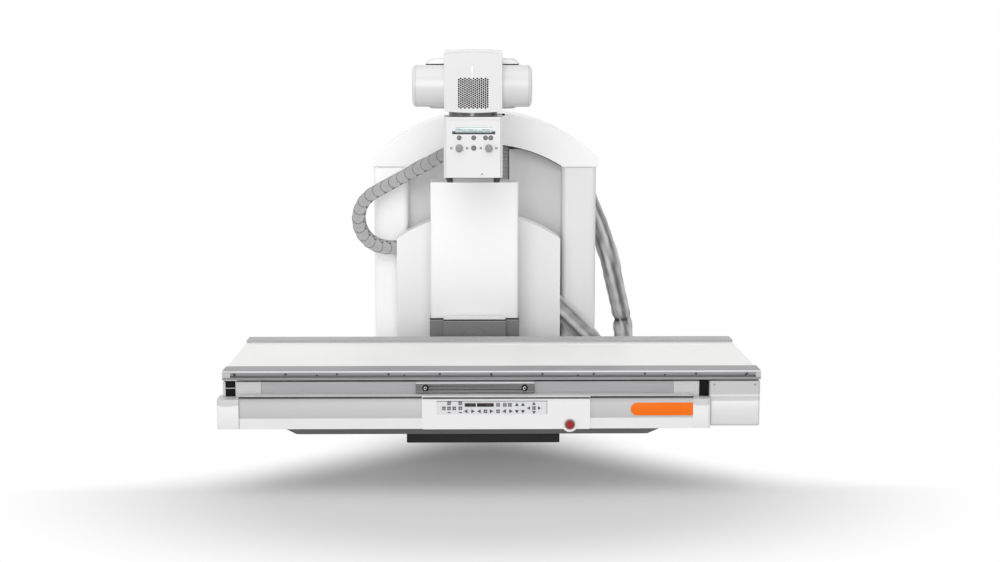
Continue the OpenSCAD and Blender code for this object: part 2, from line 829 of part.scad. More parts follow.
// A square key with its middle at x and z from the lower left corner of the key field
module square_key(x, z, h = key_w) {
    span([keys_x0 + x - key_w / 2, box_y, keys_z0 + z - h / 2],
        [keys_x0 + x + key_w / 2, box_y + 2, keys_z0 + z + h / 2]);
}

// A three-cornered key that points to the right, or turned from there by an angle
module arrow_key(x, z, turn) {
    h = key_w / 2;
    translate([keys_x0 + x, 0, keys_z0 + z]) rotate([0, -turn, 0])
        profile_y(box_y, box_y + 2) polygon([[h, 0], [-h, h], [-h, -h]]);
}

// Sealed key field: a plate with its two display windows and raised keys
module keypad() {
    color(pale) {
        span([keys_x0, box_y + 1, keys_z0], [keys_x1, box_y + 3, keys_z1]);
        for (x = mode_cols) square_key(x, row_mid);
        for (x = [mode_cols[1], mode_cols[3]]) {
            square_key(x, row_top);
            square_key(x, row_low - 1, key_w / 2);
        }
        for (x = [[113, 155], [165, 223]])
            span([keys_x0 + x[0], box_y, keys_z0 + row_high - win_h / 2],
                [keys_x0 + x[1], box_y + 2, keys_z0 + row_high + win_h / 2]);
        for (x = [240, 265, 286]) square_key(x, row_high);
        for (x = [190, 240]) square_key(x, row_low);
        for (x = [119, 169, 266]) arrow_key(x, row_low, 180);
        for (x = [140, 211, 287]) arrow_key(x, row_low, 0);
        for (x = [312, 337]) {
            arrow_key(x, row_high, 90);
            arrow_key(x, row_low, 270);
        }
        square_key(pad_x, row_mid);
        for (s = [-1, 1]) {
            arrow_key(pad_x + s * 20, row_mid, 90 - s * 90);
            arrow_key(pad_x, row_mid + s * 15, s * 90);
        }
    }
}

stop_travel = 4;
module stop_button() {
    color([0.75, 0.1, 0.1]) {
        rod_y(stop_x, stop_z, box_y - 4 - stop_travel - 1, box_y + 2, 8);
        rod_y(stop_x, stop_z, box_y - 4 - stop_travel - 13, box_y - 4 - stop_travel - 1, 16);
    }
}

// ---- tabletop ----

top_x0 = table_x - table_l / 2;
top_x1 = table_x + table_l / 2;
ledge = 14; // width of the rails' ledge under the panel
// The panel and the two battens by which it runs on the cross slides
module table_panel() {
    color(white) {
        span([top_x0, table_front + rail_w, panel_z], [top_x1, table_back - rail_w, panel_z + panel_t]);
        for (x = slide_x) span([x - 25, table_front + rail_w + ledge, rail_z],
            [x + 25, table_back - rail_w - ledge, panel_z]);
    }
}

// Section of the side rail, outer side at y = 0: rounded shoulder, accessory groove and ledge
groove_z = 10;
groove_h = 8;
groove_d = 9;
module rail_section() {
    r = 8;
    difference() {
        union() {
            square([rail_w, rail_h - r]);
            translate([r, 0]) square([rail_w - r, rail_h]);
            translate([r, rail_h - r]) circle(r);
            square([rail_w + ledge, panel_z - rail_z]);
        }
        translate([-1, groove_z]) square([groove_d + 1, groove_h]);
    }
}

module front_rail() {
    color(grey) translate([0, table_front, rail_z]) profile_x(top_x0, top_x1) rail_section();
}

module rear_rail() {
    color(grey) translate([0, table_back, rail_z])
        mirror([0, 1, 0]) profile_x(top_x0, top_x1) rail_section();
}

// ---- carriage ----

arm_z = beam_top - 49; // underside of the carriage's arm over the rear beam
det_y0 = beam_front + beam_d + guide_t + gap;
det_y1 = rear_beam_y - 10;
det_z0 = frame_z + 12;
bearing_r = 60;
module carriage_frame() {
    x0 = column_x - 100;
    x1 = column_x + 100;
    plate_y = column_front - 35;
    shoe_y = rear_beam_y + beam_d + guide_t;
    color(steel) {
        span([x0 - 30, det_y1, arm_z], [x1 + 30, plate_y, beam_top]);
        // shoe on the rear guide rail
        difference() {
            span([x0, rear_beam_y + beam_d + gap, rear_guide_z - 20], [x1, shoe_y + 20, arm_z]);
            span([x0 - 1, rear_beam_y + beam_d, rear_guide_z - gap],
                [x1 + 1, shoe_y + gap, rear_guide_z + guide_t + gap]);
        }
        // upright plate with the bearing of the column
        difference() {
            union() {
                profile_y(plate_y, plate_y + 20)
                    round_rect([column_x - 140, angle_z - 150], [column_x + 140, angle_z + 110], 20);
                rod_y(column_x, angle_z, plate_y + 20, column_front - 2, bearing_r + 30);
            }
            rod_y(column_x, angle_z, plate_y - 1, column_front, bearing_r + fit_gap);
        }
    }
}

module detector_housing() {
    x0 = column_x - carriage_w / 2;
    x1 = column_x + carriage_w / 2;
    color(grey) difference() {
        translate([0, 0, det_z0]) linear_extrude(lip_z - det_z0) round_rect([x0, det_y0], [x1, det_y1], 6);
        // the housing clears the pan's cross members and the guide rail
        span([x0 - 1, det_y0 - 1, front_guide_z - gap],
            [x1 + 1, det_y0 + 1, front_guide_z + guide_t + gap]);
    }
}

plate_w = carriage_w;
plate_y0 = beam_front - 14;
module carriage_plate() {
    x0 = column_x - plate_w / 2;
    x1 = column_x + plate_w / 2;
    color(grey) difference() {
        union() {
            span([x0, plate_y0, fascia_top + play], [x1, plate_y0 + 6, lip_z + lip_t]);
            span([x0, plate_y0, lip_z], [x1, det_y0 + 40, lip_z + lip_t]);
        }
        for (s = [-1, 1]) rod_y(column_x + s * knob_dx, knob_z, plate_y0 - 1, plate_y0 + 7, 6 + gap);
    }
}

knob_dx = 193;
knob_z = (fascia_top + lip_z) / 2;
module lock_knob(s) {
    x = column_x + s * knob_dx;
    color(dark) difference() {
        union() {
            rod_y(x, knob_z, plate_y0 - 10, plate_y0 - gap, 12);
            rod_y(x, knob_z, plate_y0 - gap, plate_y0 + 6, 6);
        }
        span([x - 1.5, plate_y0 - 11, knob_z - 9], [x + 1.5, plate_y0 - 8, knob_z + 9]);
    }
}
module lock_knob_left() {
    lock_knob(-1);
}
module lock_knob_right() {
    lock_knob(1);
}

// ---- column ----

// Base of the column: straight above its axis and round below it
module column_base() {
    w = column_w + 10;
    y0 = column_front;
    y1 = column_back;
    color(dark) {
        difference() {
            profile_y(y0, y1) {
                translate([column_x - w / 2, angle_z]) square([w, column_seam - angle_z]);
                intersection() {
                    translate([column_x, angle_z]) circle(w / 2, $fn = 180);
                    translate([column_x - w / 2, angle_z - w / 2]) square([w, w / 2 + 1]);
                }
            }
            // pocket for the foot of the mast's guide
            span([column_x - w / 2 + 30, y0 + 20, column_seam - 40],
                [column_x + w / 2 - 30, y1 - 20, column_seam + 1]);
        }
        rod_y(column_x, angle_z, column_front - 35, y0, bearing_r);
    }
}

module column_cover() {
    t = cover_t;
    x = column_w / 2;
    color(white) difference() {
        translate([column_x, 0, column_seam]) linear_extrude(column_top - column_seam)
            round_rect([-x, column_front], [x, column_back], 12);
        translate([column_x, 0, column_seam - 1]) linear_extrude(column_top - column_seam + 2)
            round_rect([-x + t, column_front + t], [x - t, column_back - t], 12 - t);
    }
}

// Cap in the top of the column with the passage of the mast
module column_cap() {
    t = cover_t;
    x = column_w / 2;
    y = (column_front + column_back) / 2;
    color(grey) difference() {
        translate([column_x, 0, column_top - 12]) linear_extrude(12)
            round_rect([-x + t, column_front + t], [x - t, column_back - t], 12 - t);
        span([column_x - mast_w / 2 - gap, y - mast_d / 2 - gap, column_top - 13],
            [column_x + mast_w / 2 + gap, y + mast_d / 2 + gap, column_top + 1]);
    }
}

mast_z0 = column_top - mast_travel - 170;
mast_z1 = tube_z + 100;
bracket_z = chain_at(link_count * link_pitch)[1];
bracket_x = chain_at(link_count * link_pitch)[0];
module mast() {
    y = (column_front + column_back) / 2;
    back = chain_y + link_w / 2 + 0.5;
    top = bracket_z + link_h / 2 + 8;
    color(steel) {
        difference() {
            span([column_x - mast_w / 2, y - mast_d / 2, mast_z0],
                [column_x + mast_w / 2, y + mast_d / 2, mast_z1]);
            span([column_x - mast_w / 2 + 8, y - mast_d / 2 + 8, mast_z0 - 1],
                [column_x + mast_w / 2 - 8, y + mast_d / 2 - 8, mast_z1 - 10]);
        }
        // bracket that holds the upper end of the energy chain
        span([bracket_x - 30, y + mast_d / 2, top], [bracket_x + 30, back + 8, top + 10]);
        span([bracket_x - 30, back, bracket_z - 40], [bracket_x + 30, back + 8, top]);
    }
}

tube_y = table_back - table_w / 2;
swivel_back = 215; // from the tube's axis back to the joint face
swivel_y = tube_y + swivel_back; // joint face between the arm and the tube head
swivel_r = 40;
journal_l = 50;
module tube_arm() {
    wall = 8;
    x = mast_w / 2 - 8;
    y1 = (column_front + column_back) / 2 - mast_d / 2;
    z0 = tube_z - 75;
    z1 = tube_z + 85;
    color(white) difference() {
        profile_y(swivel_y, y1) round_rect([column_x - x, z0], [column_x + x, z1], 20);
        profile_y(swivel_y + journal_l + 20, y1 - wall)
            round_rect([column_x - x + wall, z0 + wall], [column_x + x - wall, z1 - wall], 20 - wall);
        rod_y(tube_x, tube_z, swivel_y - 1, swivel_y + journal_l + 5, swivel_r + fit_gap);
    }
}

// ---- tube head ----

head_y0 = tube_y - head_d + 100;
head_y1 = tube_y + 100;
head_z0 = tube_z - 105;
head_z1 = head_z0 + head_h;
grille_cols = 15;
grille_z = tube_z - 27;

// Front outline of the head cover, taken in by the wall in: bowed edges above and below, round corners
head_bow = 6;
head_corner = 16;
module head_outline(in) {
    r = arc_r(head_w, head_bow);
    x = head_w / 2 - in;
    intersection() {
        round_rect([tube_x - x, head_z0 + in], [tube_x + x, head_z1 - in], head_corner - in);
        translate([tube_x, head_z1 - r]) circle(r - in, $fn = 180);
        translate([tube_x, head_z0 + r]) circle(r - in, $fn = 180);
    }
}

head_t = 4; // wall of the head covers
module head_cover() {
    t = head_t;
    color(white) {
        profile_y(head_y0, head_y0 + t) difference() {
            head_outline(0);
            for (i = [0:grille_cols - 1]) {
                n = i % 2 == 0 ? 13 : 14;
                for (j = [0:n - 1])
                    translate([tube_x + (i - (grille_cols - 1) / 2) * grille_dx,
                        grille_z + (j - (n - 1) / 2) * grille_dz]) circle(grille_r);
            }
        }
        difference() {
            profile_y(head_y0 + t, head_y1) head_outline(0);
            profile_y(head_y0 + t, head_y1 - t) head_outline(t);
            rod_x(tube_y, tube_z, tube_x - head_w / 2 - 1, tube_x + head_w / 2 + 1, tube_r + gap);
            rod_y(tube_x, tube_z, tube_y, head_y1 + 1, neck_r + gap);
            // passage of the beam port
            translate([tube_x, tube_y, head_z0 - 1]) cylinder(r = port_r + gap, h = 30);
        }
    }
}

// Finned cooler behind the grille
module cooler() {
    w = grille_cols * grille_dx + 20;
    y0 = head_y0 + head_t + 4;
    color(dark) difference() {
        span([tube_x - w / 2, y0, grille_z - w / 2],
            [tube_x + w / 2, tube_y - port_r - 1, grille_z + w / 2]);
        for (i = [0:9]) translate([tube_x - w / 2 + 9 + 13.5 * i, 0, 0])
            span([0, y0 - 1, grille_z - w / 2 + 6], [6, y0 + 14, grille_z + w / 2 - 6]);
        rod_x(tube_y, tube_z, tube_x - w, tube_x + w, tube_r + gap);
    }
}

// Cover over the back of the tube head, through which the journal passes
rear_w = 403;
rear_down = 95; // reach of the cover below and above the tube's axis
rear_up = 112;
module rear_head_cover() {
    x = tube_x - 3;
    z0 = tube_z - rear_down;
    z1 = tube_z + rear_up;
    y0 = head_y1 + 2;
    color(white) difference() {
        profile_y(y0, swivel_y - play) round_rect([x - rear_w / 2, z0], [x + rear_w / 2, z1], 46);
        profile_y(y0 - 1, swivel_y - play - head_t)
            round_rect([x - rear_w / 2 + head_t, z0 + head_t],
                [x + rear_w / 2 - head_t, z1 - head_t], 46 - head_t);
        rod_y(tube_x, tube_z, y0, swivel_y, swivel_r + gap);
    }
}

port_r = 70;
port_h = 60;
neck_r = 76;
tube_edge = 18; // rounding of the housing's end faces
tube_shift = 4; // how far the housing sits to the left of the beam
module tube_housing() {
    edge = tube_edge;
    x = tube_x - tube_shift;
    color(white) {
        translate([x - tube_l / 2, tube_y, tube_z]) rotate([0, 90, 0]) rotate_extrude() {
            square([tube_r - edge, tube_l]);
            translate([0, edge]) square([tube_r, tube_l - 2 * edge]);
            for (z = [edge, tube_l - edge]) translate([tube_r - edge, z]) circle(edge);
        }
        // port to the collimator
        translate([tube_x, tube_y, head_z0]) cylinder(r = port_r, h = port_h);
        // neck to the rear cover, and the journal of the swivel
        rod_y(tube_x, tube_z, tube_y + tube_r / 2, swivel_y - play - head_t, neck_r);
        rod_y(tube_x, tube_z, swivel_y - play - head_t, swivel_y + journal_l, swivel_r);
    }
}

collar_h = 16;
collar_r = 99;
module tube_collar() {
    color(dark) difference() {
        translate([tube_x, tube_y, head_z0 - collar_h + gap]) cylinder(r = collar_r, h = collar_h - gap);
        translate([tube_x, tube_y, head_z0 - collar_h]) cylinder(r = 50, h = collar_h + 1);
    }
}

// ---- collimator ----

colli_z1 = head_z0 - collar_h;
colli_z0 = colli_z1 - colli_h;
colli_y0 = tube_y - colli_d / 2;
knob_y1 = colli_z0 + 119; // height of the two field knobs
key_z = colli_z0 + 160; // height of the small keys
lcd_z = colli_z0 + 190;
light_x = tube_x + 2;

module collimator_cover() {
    c = 10;
    color(white) difference() {
        translate([tube_x, tube_y, colli_z0]) linear_extrude(colli_h)
            polygon([for (s = [[-1, -1], [1, -1], [1, 1], [-1, 1]])
                each let (w = colli_w / 2, d = colli_d / 2)
                    s[0] * s[1] > 0
                        ? [[s[0] * w, s[1] * (d - c)], [s[0] * (w - c), s[1] * d]]
                        : [[s[0] * (w - c), s[1] * d], [s[0] * w, s[1] * (d - c)]]]);
        // field of the display
        span([tube_x - 84, colli_y0 - 1, lcd_z - 16], [tube_x + 88, colli_y0 + 2, lcd_z + 12]);
        for (k = colli_controls) rod_y(k[0], k[1], colli_y0 - 1, colli_y0 + k[3], k[2] + gap);
        // beam window
        translate([tube_x, tube_y, colli_z0 - 1]) cylinder(r = 60, h = 7);
    }
}

// Knobs and keys of the collimator: place along X, height, radius of the stem and depth of its hole
colli_controls = [[tube_x - 56, knob_y1, 6, 14], [tube_x + 62, knob_y1, 6, 14],
    [light_x, knob_y1, 9, 8], [tube_x - 56, key_z, 8, 8], [light_x, key_z, 8, 8],
    [tube_x + 49, key_z, 8, 8], [tube_x + 70, key_z, 8, 8]];

module display_panel() {
    color(dark) difference() {
        span([tube_x - 84, colli_y0 + 0.5, lcd_z - 16], [tube_x + 88, colli_y0 + 2, lcd_z + 12]);
        span([tube_x - 71, colli_y0, lcd_z - 9], [tube_x + 76, colli_y0 + 1, lcd_z + 8]);
    }
}

rail_gap = 6; // clear height of the grooves for filters
module accessory_rails() {
    x = colli_w / 2 - 6;
    z0 = colli_z0 - 21;
    color(dark) {
        for (s = [-1, 1]) translate([tube_x, 0, 0]) {
            profile_y(tube_y - 90, tube_y + 90)
                polygon([[s * x, colli_z0], [s * (x - 30), colli_z0], [s * (x - 30), colli_z0 - 5],
                    [s * (x - 20), colli_z0 - 5], [s * (x - 20), colli_z0 - 5 - rail_gap],
                    [s * (x - 30), colli_z0 - 5 - rail_gap], [s * (x - 30), z0], [s * (x - 8), z0]]);
        }
    }
}

module field_knob(k) {
    color(grey) {
        rod_y(k[0], k[1], colli_y0 - 16, colli_y0 - gap, 15);
        rod_y(k[0], k[1], colli_y0 - gap, colli_y0 + k[3] - 2, k[2]);
        rod_y(k[0], k[1], colli_y0 - 18, colli_y0 - 16, 12);
    }
}
module field_knob_left() {
    field_knob(colli_controls[0]);
}
module field_knob_right() {
    field_knob(colli_controls[1]);
}

key_travel = 2;
module push_key(k) {
    color(grey) {
        rod_y(k[0], k[1], colli_y0 - key_travel - 1, colli_y0 + k[3] - key_travel - 1, k[2]);
    }
}
module light_button() {
    push_key(colli_controls[2]);
}
module format_key_1() {
    push_key(colli_controls[3]);
}
module format_key_2() {
    push_key(colli_controls[4]);
}
module format_key_3() {
    push_key(colli_controls[5]);
}
module format_key_4() {
    push_key(colli_controls[6]);
}

base_plate();
pedestal();
guide_frame();
lead_screw();
left_pillar_cover();
right_pillar_cover();
recess_panels();
hood();
back_cover();
cable_sleeve();
lift_slide();
lift_drive();
lift_arm();
tilt_bearing();
tilt_drive();
arch_cover();
energy_chain();
tilt_hub();
support_console();
cross_members();
front_beam();
rear_beam();
end_frames();
guide_rails();
cross_slides();
bottom_pan();
fascia();
fascia_caps();
end_box();
control_box();
keypad();
stop_button();
table_panel();
front_rail();
rear_rail();
carriage_frame();
detector_housing();
carriage_plate();
lock_knob_left();
lock_knob_right();
column_base();
column_cover();
column_cap();
mast();
tube_arm();
head_cover();
rear_head_cover();
cooler();
tube_housing();
tube_collar();
collimator_cover();
display_panel();
accessory_rails();
field_knob_left();
field_knob_right();
light_button();
format_key_1();
format_key_2();
format_key_3();
format_key_4();
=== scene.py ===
# %% [markdown]
# # Dressing an x-ray table
# The machine is already there as solids: a stand with a lift, a table that tilts on it, and a column
# that carries a tube head over the table. This lesson gives those solids their looks. The frame is
# loaded first, because every new piece takes its place from it, and its box is kept to prove at the
# end that nothing has grown.
# %% Load the frame
import json
import math

import bpy
import numpy as np
from mathutils import Matrix, Vector

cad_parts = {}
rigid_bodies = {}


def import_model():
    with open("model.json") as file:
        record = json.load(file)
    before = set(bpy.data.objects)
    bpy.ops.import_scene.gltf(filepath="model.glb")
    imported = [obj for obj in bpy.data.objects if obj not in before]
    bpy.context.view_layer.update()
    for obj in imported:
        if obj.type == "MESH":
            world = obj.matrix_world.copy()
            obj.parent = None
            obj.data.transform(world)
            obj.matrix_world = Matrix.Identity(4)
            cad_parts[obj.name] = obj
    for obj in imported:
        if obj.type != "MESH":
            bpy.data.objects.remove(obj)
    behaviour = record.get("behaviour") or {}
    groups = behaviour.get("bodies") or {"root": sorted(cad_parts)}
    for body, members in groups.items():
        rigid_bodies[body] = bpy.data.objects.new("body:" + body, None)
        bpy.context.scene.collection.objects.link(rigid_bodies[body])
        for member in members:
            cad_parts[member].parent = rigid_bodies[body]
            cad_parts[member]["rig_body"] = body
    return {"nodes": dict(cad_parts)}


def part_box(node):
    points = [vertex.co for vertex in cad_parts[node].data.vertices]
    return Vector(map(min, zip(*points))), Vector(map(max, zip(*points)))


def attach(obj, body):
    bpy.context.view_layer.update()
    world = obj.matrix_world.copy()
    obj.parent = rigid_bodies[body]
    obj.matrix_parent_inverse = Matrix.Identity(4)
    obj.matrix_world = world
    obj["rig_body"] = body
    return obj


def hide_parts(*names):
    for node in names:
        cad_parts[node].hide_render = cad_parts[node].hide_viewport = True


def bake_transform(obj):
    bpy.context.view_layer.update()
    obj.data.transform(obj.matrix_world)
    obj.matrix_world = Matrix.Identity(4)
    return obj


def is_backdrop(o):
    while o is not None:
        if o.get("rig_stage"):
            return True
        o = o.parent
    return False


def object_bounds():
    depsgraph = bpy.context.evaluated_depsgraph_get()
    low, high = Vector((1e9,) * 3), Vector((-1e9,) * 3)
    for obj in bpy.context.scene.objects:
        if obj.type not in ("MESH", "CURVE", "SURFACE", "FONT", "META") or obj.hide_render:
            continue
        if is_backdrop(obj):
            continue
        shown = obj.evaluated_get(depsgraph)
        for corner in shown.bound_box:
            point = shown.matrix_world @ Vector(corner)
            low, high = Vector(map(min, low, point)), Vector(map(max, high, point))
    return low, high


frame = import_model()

cad_low, cad_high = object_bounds()
MM = 0.001
print(len(frame["nodes"]), "nodes from", [round(x, 3) for x in cad_low], "to",
      [round(x, 3) for x in cad_high])

# %% [markdown]
# ## The camera
# The viewer stands in front of the long side of the table, a little higher than the tube head, and
# looks slightly down. A camera can be aimed with a constraint, but a matrix made from three
# directions says exactly where it looks and keeps a small roll.
# %% Camera
eye = Vector((-0.0678, -7.7332, 1.675))
pitch, yaw, roll = 0.134396, 0.018032, 0.0013412
ahead = Vector((math.sin(yaw) * math.cos(pitch), math.cos(yaw) * math.cos(pitch), -math.sin(pitch)))
level_right = Vector((math.cos(yaw), -math.sin(yaw), 0))
level_up = level_right.cross(ahead)
right = level_right * math.cos(roll) + level_up * math.sin(roll)
up = level_up * math.cos(roll) - level_right * math.sin(roll)
camera = bpy.data.objects.new("camera", bpy.data.cameras.new("camera"))
camera.data.sensor_width = 36
camera.data.lens = 58.56
camera.matrix_world = Matrix.Translation(eye) @ Matrix((right, up, -ahead)).transposed().to_4x4()
bpy.context.scene.collection.objects.link(camera)
bpy.context.scene.camera = camera
print("camera", round((eye - (cad_low + cad_high) / 2).length, 2), "m from the middle of the machine")

# %% [markdown]
# ## Finishes as small node trees
# Every surface gets a material made of nodes. A class keeps the recipe short: it owns one material,
# adds nodes to it and links them. Patterns read Object coordinates in metres, so a grain has the same
# size on a button and on the tabletop. Numbers that don't change over the surface go straight on the
# shader, where an export finds them.
# %% Recipe for a material
finishes = {}


def tone(value, tint=(1, 1, 1)):
    """The linear colour of a screen grey from 0 to 255, by the standard screen curve, times a tint."""
    screen = np.array(tint) * value / 255
    linear = np.where(screen <= 0.04045, screen / 12.92, ((screen + 0.055) / 1.055) ** 2.4)
    return (*(float(x) for x in linear), 1)


def add_node(tree, kind, links=None, **settings):
    """Adds a node. Settings are its own properties; links are its inputs, each a socket or a value."""
    node = tree.nodes.new("ShaderNode" + kind)
    for key, value in settings.items():
        setattr(node, key, value)
    for key, value in (links or {}).items():
        if isinstance(value, bpy.types.NodeSocket):
            tree.links.new(value, node.inputs[key])
        else:
            node.inputs[key].default_value = value
    return node


def reckon(tree, operation, *values):
    """The result of one step of arithmetic on sockets or numbers."""
    return add_node(tree, "Math", dict(enumerate(values)), operation=operation).outputs[0]


class Finish:
    """A material under construction, with its shader and the coordinates of its patterns."""

    def __init__(self, name, value, tint=(1, 1, 1), place="Object", **sockets):
        self.material = finishes[name] = bpy.data.materials.new(name)
        self.material.use_nodes = True
        self.tree = self.material.node_tree
        self.shader = self.tree.nodes["Principled BSDF"]
        self.value, self.tint = value, tint
        self.shader.inputs["Base Color"].default_value = tone(value, tint)
        self.material.diffuse_color = tone(value, tint)
        for socket, number in sockets.items():
            self.shader.inputs[socket.replace("_", " ")].default_value = number
        self.where = self.add("TexCoord").outputs[place]

    def add(self, kind, links=None, **settings):
        return add_node(self.tree, kind, links, **settings)

    def noise(self, scale, stretch=(1, 1, 1), detail=2.0):
        """Clouds with so many cells to the metre, drawn out by the stretch."""
        mapped = self.add("Mapping", {"Vector": self.where, "Scale": stretch}).outputs[0]
        return self.add("TexNoise", {"Vector": mapped, "Scale": scale, "Detail": detail}).outputs["Fac"]

    def spread(self, factor, low, high, start=0.3, end=0.7, **settings):
        """The factor's values from start to end, laid out from low to high."""
        return self.add("MapRange", {"Value": factor, "From Min": start, "From Max": end,
                                     "To Min": low, "To Max": high}, **settings).outputs[0]

    def colours(self, factor, *stops):
        """Sets the base colour from a factor: each stop is a position and how many greys it lies off."""
        ramp = self.add("ValToRGB", {"Fac": factor})
        for i, (position, offset) in enumerate(stops):
            stop = ramp.color_ramp.elements[i] if i < 2 else ramp.color_ramp.elements.new(position)
            stop.position = position
            stop.color = tone(self.value + offset, self.tint)
        self.link(ramp.outputs[0], "Base Color")

    def roughness(self, factor, *levels):
        self.link(self.spread(factor, *levels), "Roughness")

    def bump(self, height, depth, strength, over=None):
        """Raises the surface by the height, depth metres from 0 to 1, over another bump or none."""
        links = {"Height": height, "Distance": depth, "Strength": strength}
        if over is not None:
            links["Normal"] = over
        made = self.add("Bump", links).outputs[0]
        self.link(made, "Normal")
        return made

    def link(self, output, socket):
        self.tree.links.new(output, self.shader.inputs[socket])


print("a white cover is", tuple(round(x, 3) for x in tone(240)[:3]), "in linear light")

# %% [markdown]
# ## The finishes of this machine
# Hospital machines are mostly satin-painted covers. Paint is never quite even: it has faint clouds of
# tone, an orange-peel skin a millimetre across and a gloss that wanders. Bare alloy shows the drawing
# marks of its extrusion, moulded nylon a pebbled grain. One function makes each family of finishes,
# and a value in screen greys makes the members of the family.
# %% Paint, alloy, nylon and the rest
def paint(name, value, tint=(1, 1, 1), rough=0.36, peel=0.00012, coat=0.12, shine=0.5):
    """Satin paint: clouds of tone, wandering gloss, and an orange peel of the given depth in metres."""
    made = Finish(name, value, tint, Coat_Weight=coat, Coat_Roughness=0.25, Specular_IOR_Level=shine)
    made.colours(made.noise(1.7, detail=3), (0.3, -3), (0.7, 2))
    made.roughness(made.noise(9, detail=4), rough - 0.05, rough + 0.07)
    if peel:
        made.bump(made.noise(700, detail=1), peel, 0.5)


def alloy(name, value, rough=0.38, grain=(4, 900, 900), metal=0.75):
    """Drawn or machined metal: fine lines along the direction that the grain stretches least."""
    made = Finish(name, value, (1, 1, 1.01), Metallic=metal)
    lines = made.noise(1, stretch=grain, detail=4)
    made.colours(lines, (0.35, -9), (0.65, 7))
    made.roughness(lines, rough - 0.06, rough + 0.1)
    made.bump(lines, 0.00006, 0.6)


def nylon(name, value, grain=900, rough=0.5, shine=0.5):
    """Moulded plastic with a pebbled grain: the cells of a Voronoi pattern as small hollows."""
    made = Finish(name, value, Specular_IOR_Level=shine)
    cells = made.add("TexVoronoi", {"Vector": made.where, "Scale": grain}).outputs["Distance"]
    made.colours(made.noise(12, detail=4), (0.3, -5), (0.7, 4))
    made.roughness(cells, rough - 0.04, rough + 0.12, 0, 1)
    made.bump(cells, 0.00015, 0.5)


def gradient(name, value, axis, low, high, *stops, rough=0.42, haze=0.03):
    """A field whose tone runs along one axis from low to high, in metres: painted light and shade on most
    covers here, and a real two-tone paint on the carriage's plate.
    """
    made = Finish(name, value, Coat_Weight=0.1)
    part = made.add("SeparateXYZ", {"Vector": made.where}).outputs[axis]
    drift = made.spread(made.noise(300), -haze, haze, 0, 1)
    made.colours(reckon(made.tree, "ADD", made.spread(part, 0, 1, low, high), drift), *stops)
    made.roughness(made.noise(40, detail=3), rough - 0.04, rough + 0.06)


def gloss(name, value, tint, rough, **sockets):
    """Polished plastic or glass: deep gloss with the faint waves of moulding and a little dust."""
    made = Finish(name, value, tint, Coat_Weight=0.6, Coat_Roughness=0.05, **sockets)
    dust = made.noise(260, detail=5)
    made.colours(dust, (0.5, 0), (0.8, 9))
    made.roughness(dust, rough, rough + 0.12, 0.5, 0.8)
    made.bump(made.noise(25, detail=1), 0.0002, 0.3)


# %% The finishes by name, with their screen greys
# All these whites stand for one satin paint. Their greys differ as painted light and shade: lighter for the
# left pillar, the hood and the rear head cover, darker for the right pillar, the front cover, the boxes and
# the head.
for name, value in (("cover", 237), ("bright", 246), ("left", 252), ("right", 229), ("front", 222),
                    ("box", 226), ("head", 221), ("hood", 245)):
    paint(name + "_white", value)
paint("pale_grey", 212, rough=0.42)
for name, value in (("frame", 196), ("dark", 104), ("foot", 112)):
    paint(name + "_grey", value, rough=0.45)
paint("block_grey", 44, rough=0.55, coat=0, shine=0.2)
paint("rear_alloy", 172, rough=0.5, peel=0)
paint("table_laminate", 248, (1, 1, 0.995), rough=0.4, peel=0, coat=0)
paint("key_foil", 214, (1, 1, 1.01), rough=0.3, peel=0.00003)
paint("stop_red", 144, (1, 0.12, 0.13), rough=0.3, peel=0, coat=0.1, shine=0.3)
paint("orange_paint", 237, (1, 0.46, 0.02), rough=0.45, coat=0, shine=0.2)

alloy("beam_grey", 158, rough=0.44, metal=0.35)
for name, value in (("rail", 150), ("plate", 100), ("band", 132)):
    alloy(name + "_alloy", value, metal=0.5)
alloy("machined_steel", 150, rough=0.32, grain=(900, 900, 6), metal=1.0)
alloy("polished_steel", 96, rough=0.12, grain=(60, 60, 900), metal=1.0)
for name, value, rough in (("bright", 226, 0.3), ("lip", 218, 0.35), ("mid", 150, 0.4)):
    alloy(name + "_line", value, rough, metal=0.3)

nylon("chain_nylon", 168)
nylon("key_plastic", 112, 1500, 0.42)
nylon("knob_plastic", 142, 1500, 0.42)
nylon("black_plastic", 14, 1100, 0.6, shine=0.12)
nylon("shadow_rubber", 62, 1300, 0.65)
nylon("print_ink", 66, 2000, 0.4)
nylon("window_glass", 34, 2500, 0.3, shine=0.25)
nylon("dark_line", 72, 1200, 0.55, shine=0.3)
nylon("seam_line", 186, 1200, 0.45)
nylon("bellows_cloth", 178, 500, 0.8)
gloss("display_glow", 200, (0.91, 1, 1), 0.12, Emission_Strength=0.08,
      Emission_Color=tone(200, (0.85, 1, 1)))
gloss("digit_red", 120, (1, 0.4, 0.4), 0.14, Emission_Strength=0.1, Emission_Color=tone(150, (1, 0.2, 0.2)))

# each stop is a share of the way from the first to the second place, and the greys it lies off
# The column's white is darker towards its bottom: painted shade, as if lit from above.
gradient("column_white", 246, "Z", 0.53, 1.08, (0, -17), (0.3, -8), (0.75, 0), (1, 0), rough=0.38,
         haze=0.02)
# The recess panels are lighter at the left and darker at the right: painted light, as if lit from the left.
gradient("panel_grey", 232, "X", -0.45, 0.45, (0, 13), (0.5, 0), (1, -11), haze=0.01)
# The fields' own grey, darker towards their top and a little at their bottom: painted shade of the recess.
gradient("field_grey_painted_shade", 193, "Z", 0.302, 0.385, (0, -8), (0.2, -4), (0.7, 0), (0.9, -20), (1, -26))
# The caps are a little darker at the bottom and grey above about 0.354 m: painted shade of their sloping
# top.
gradient("cap_white", 229, "Z", 0.26, 0.389, (0.05, -10), (0.5, 0), (0.71, 0), (0.73, -30), (1, -24))
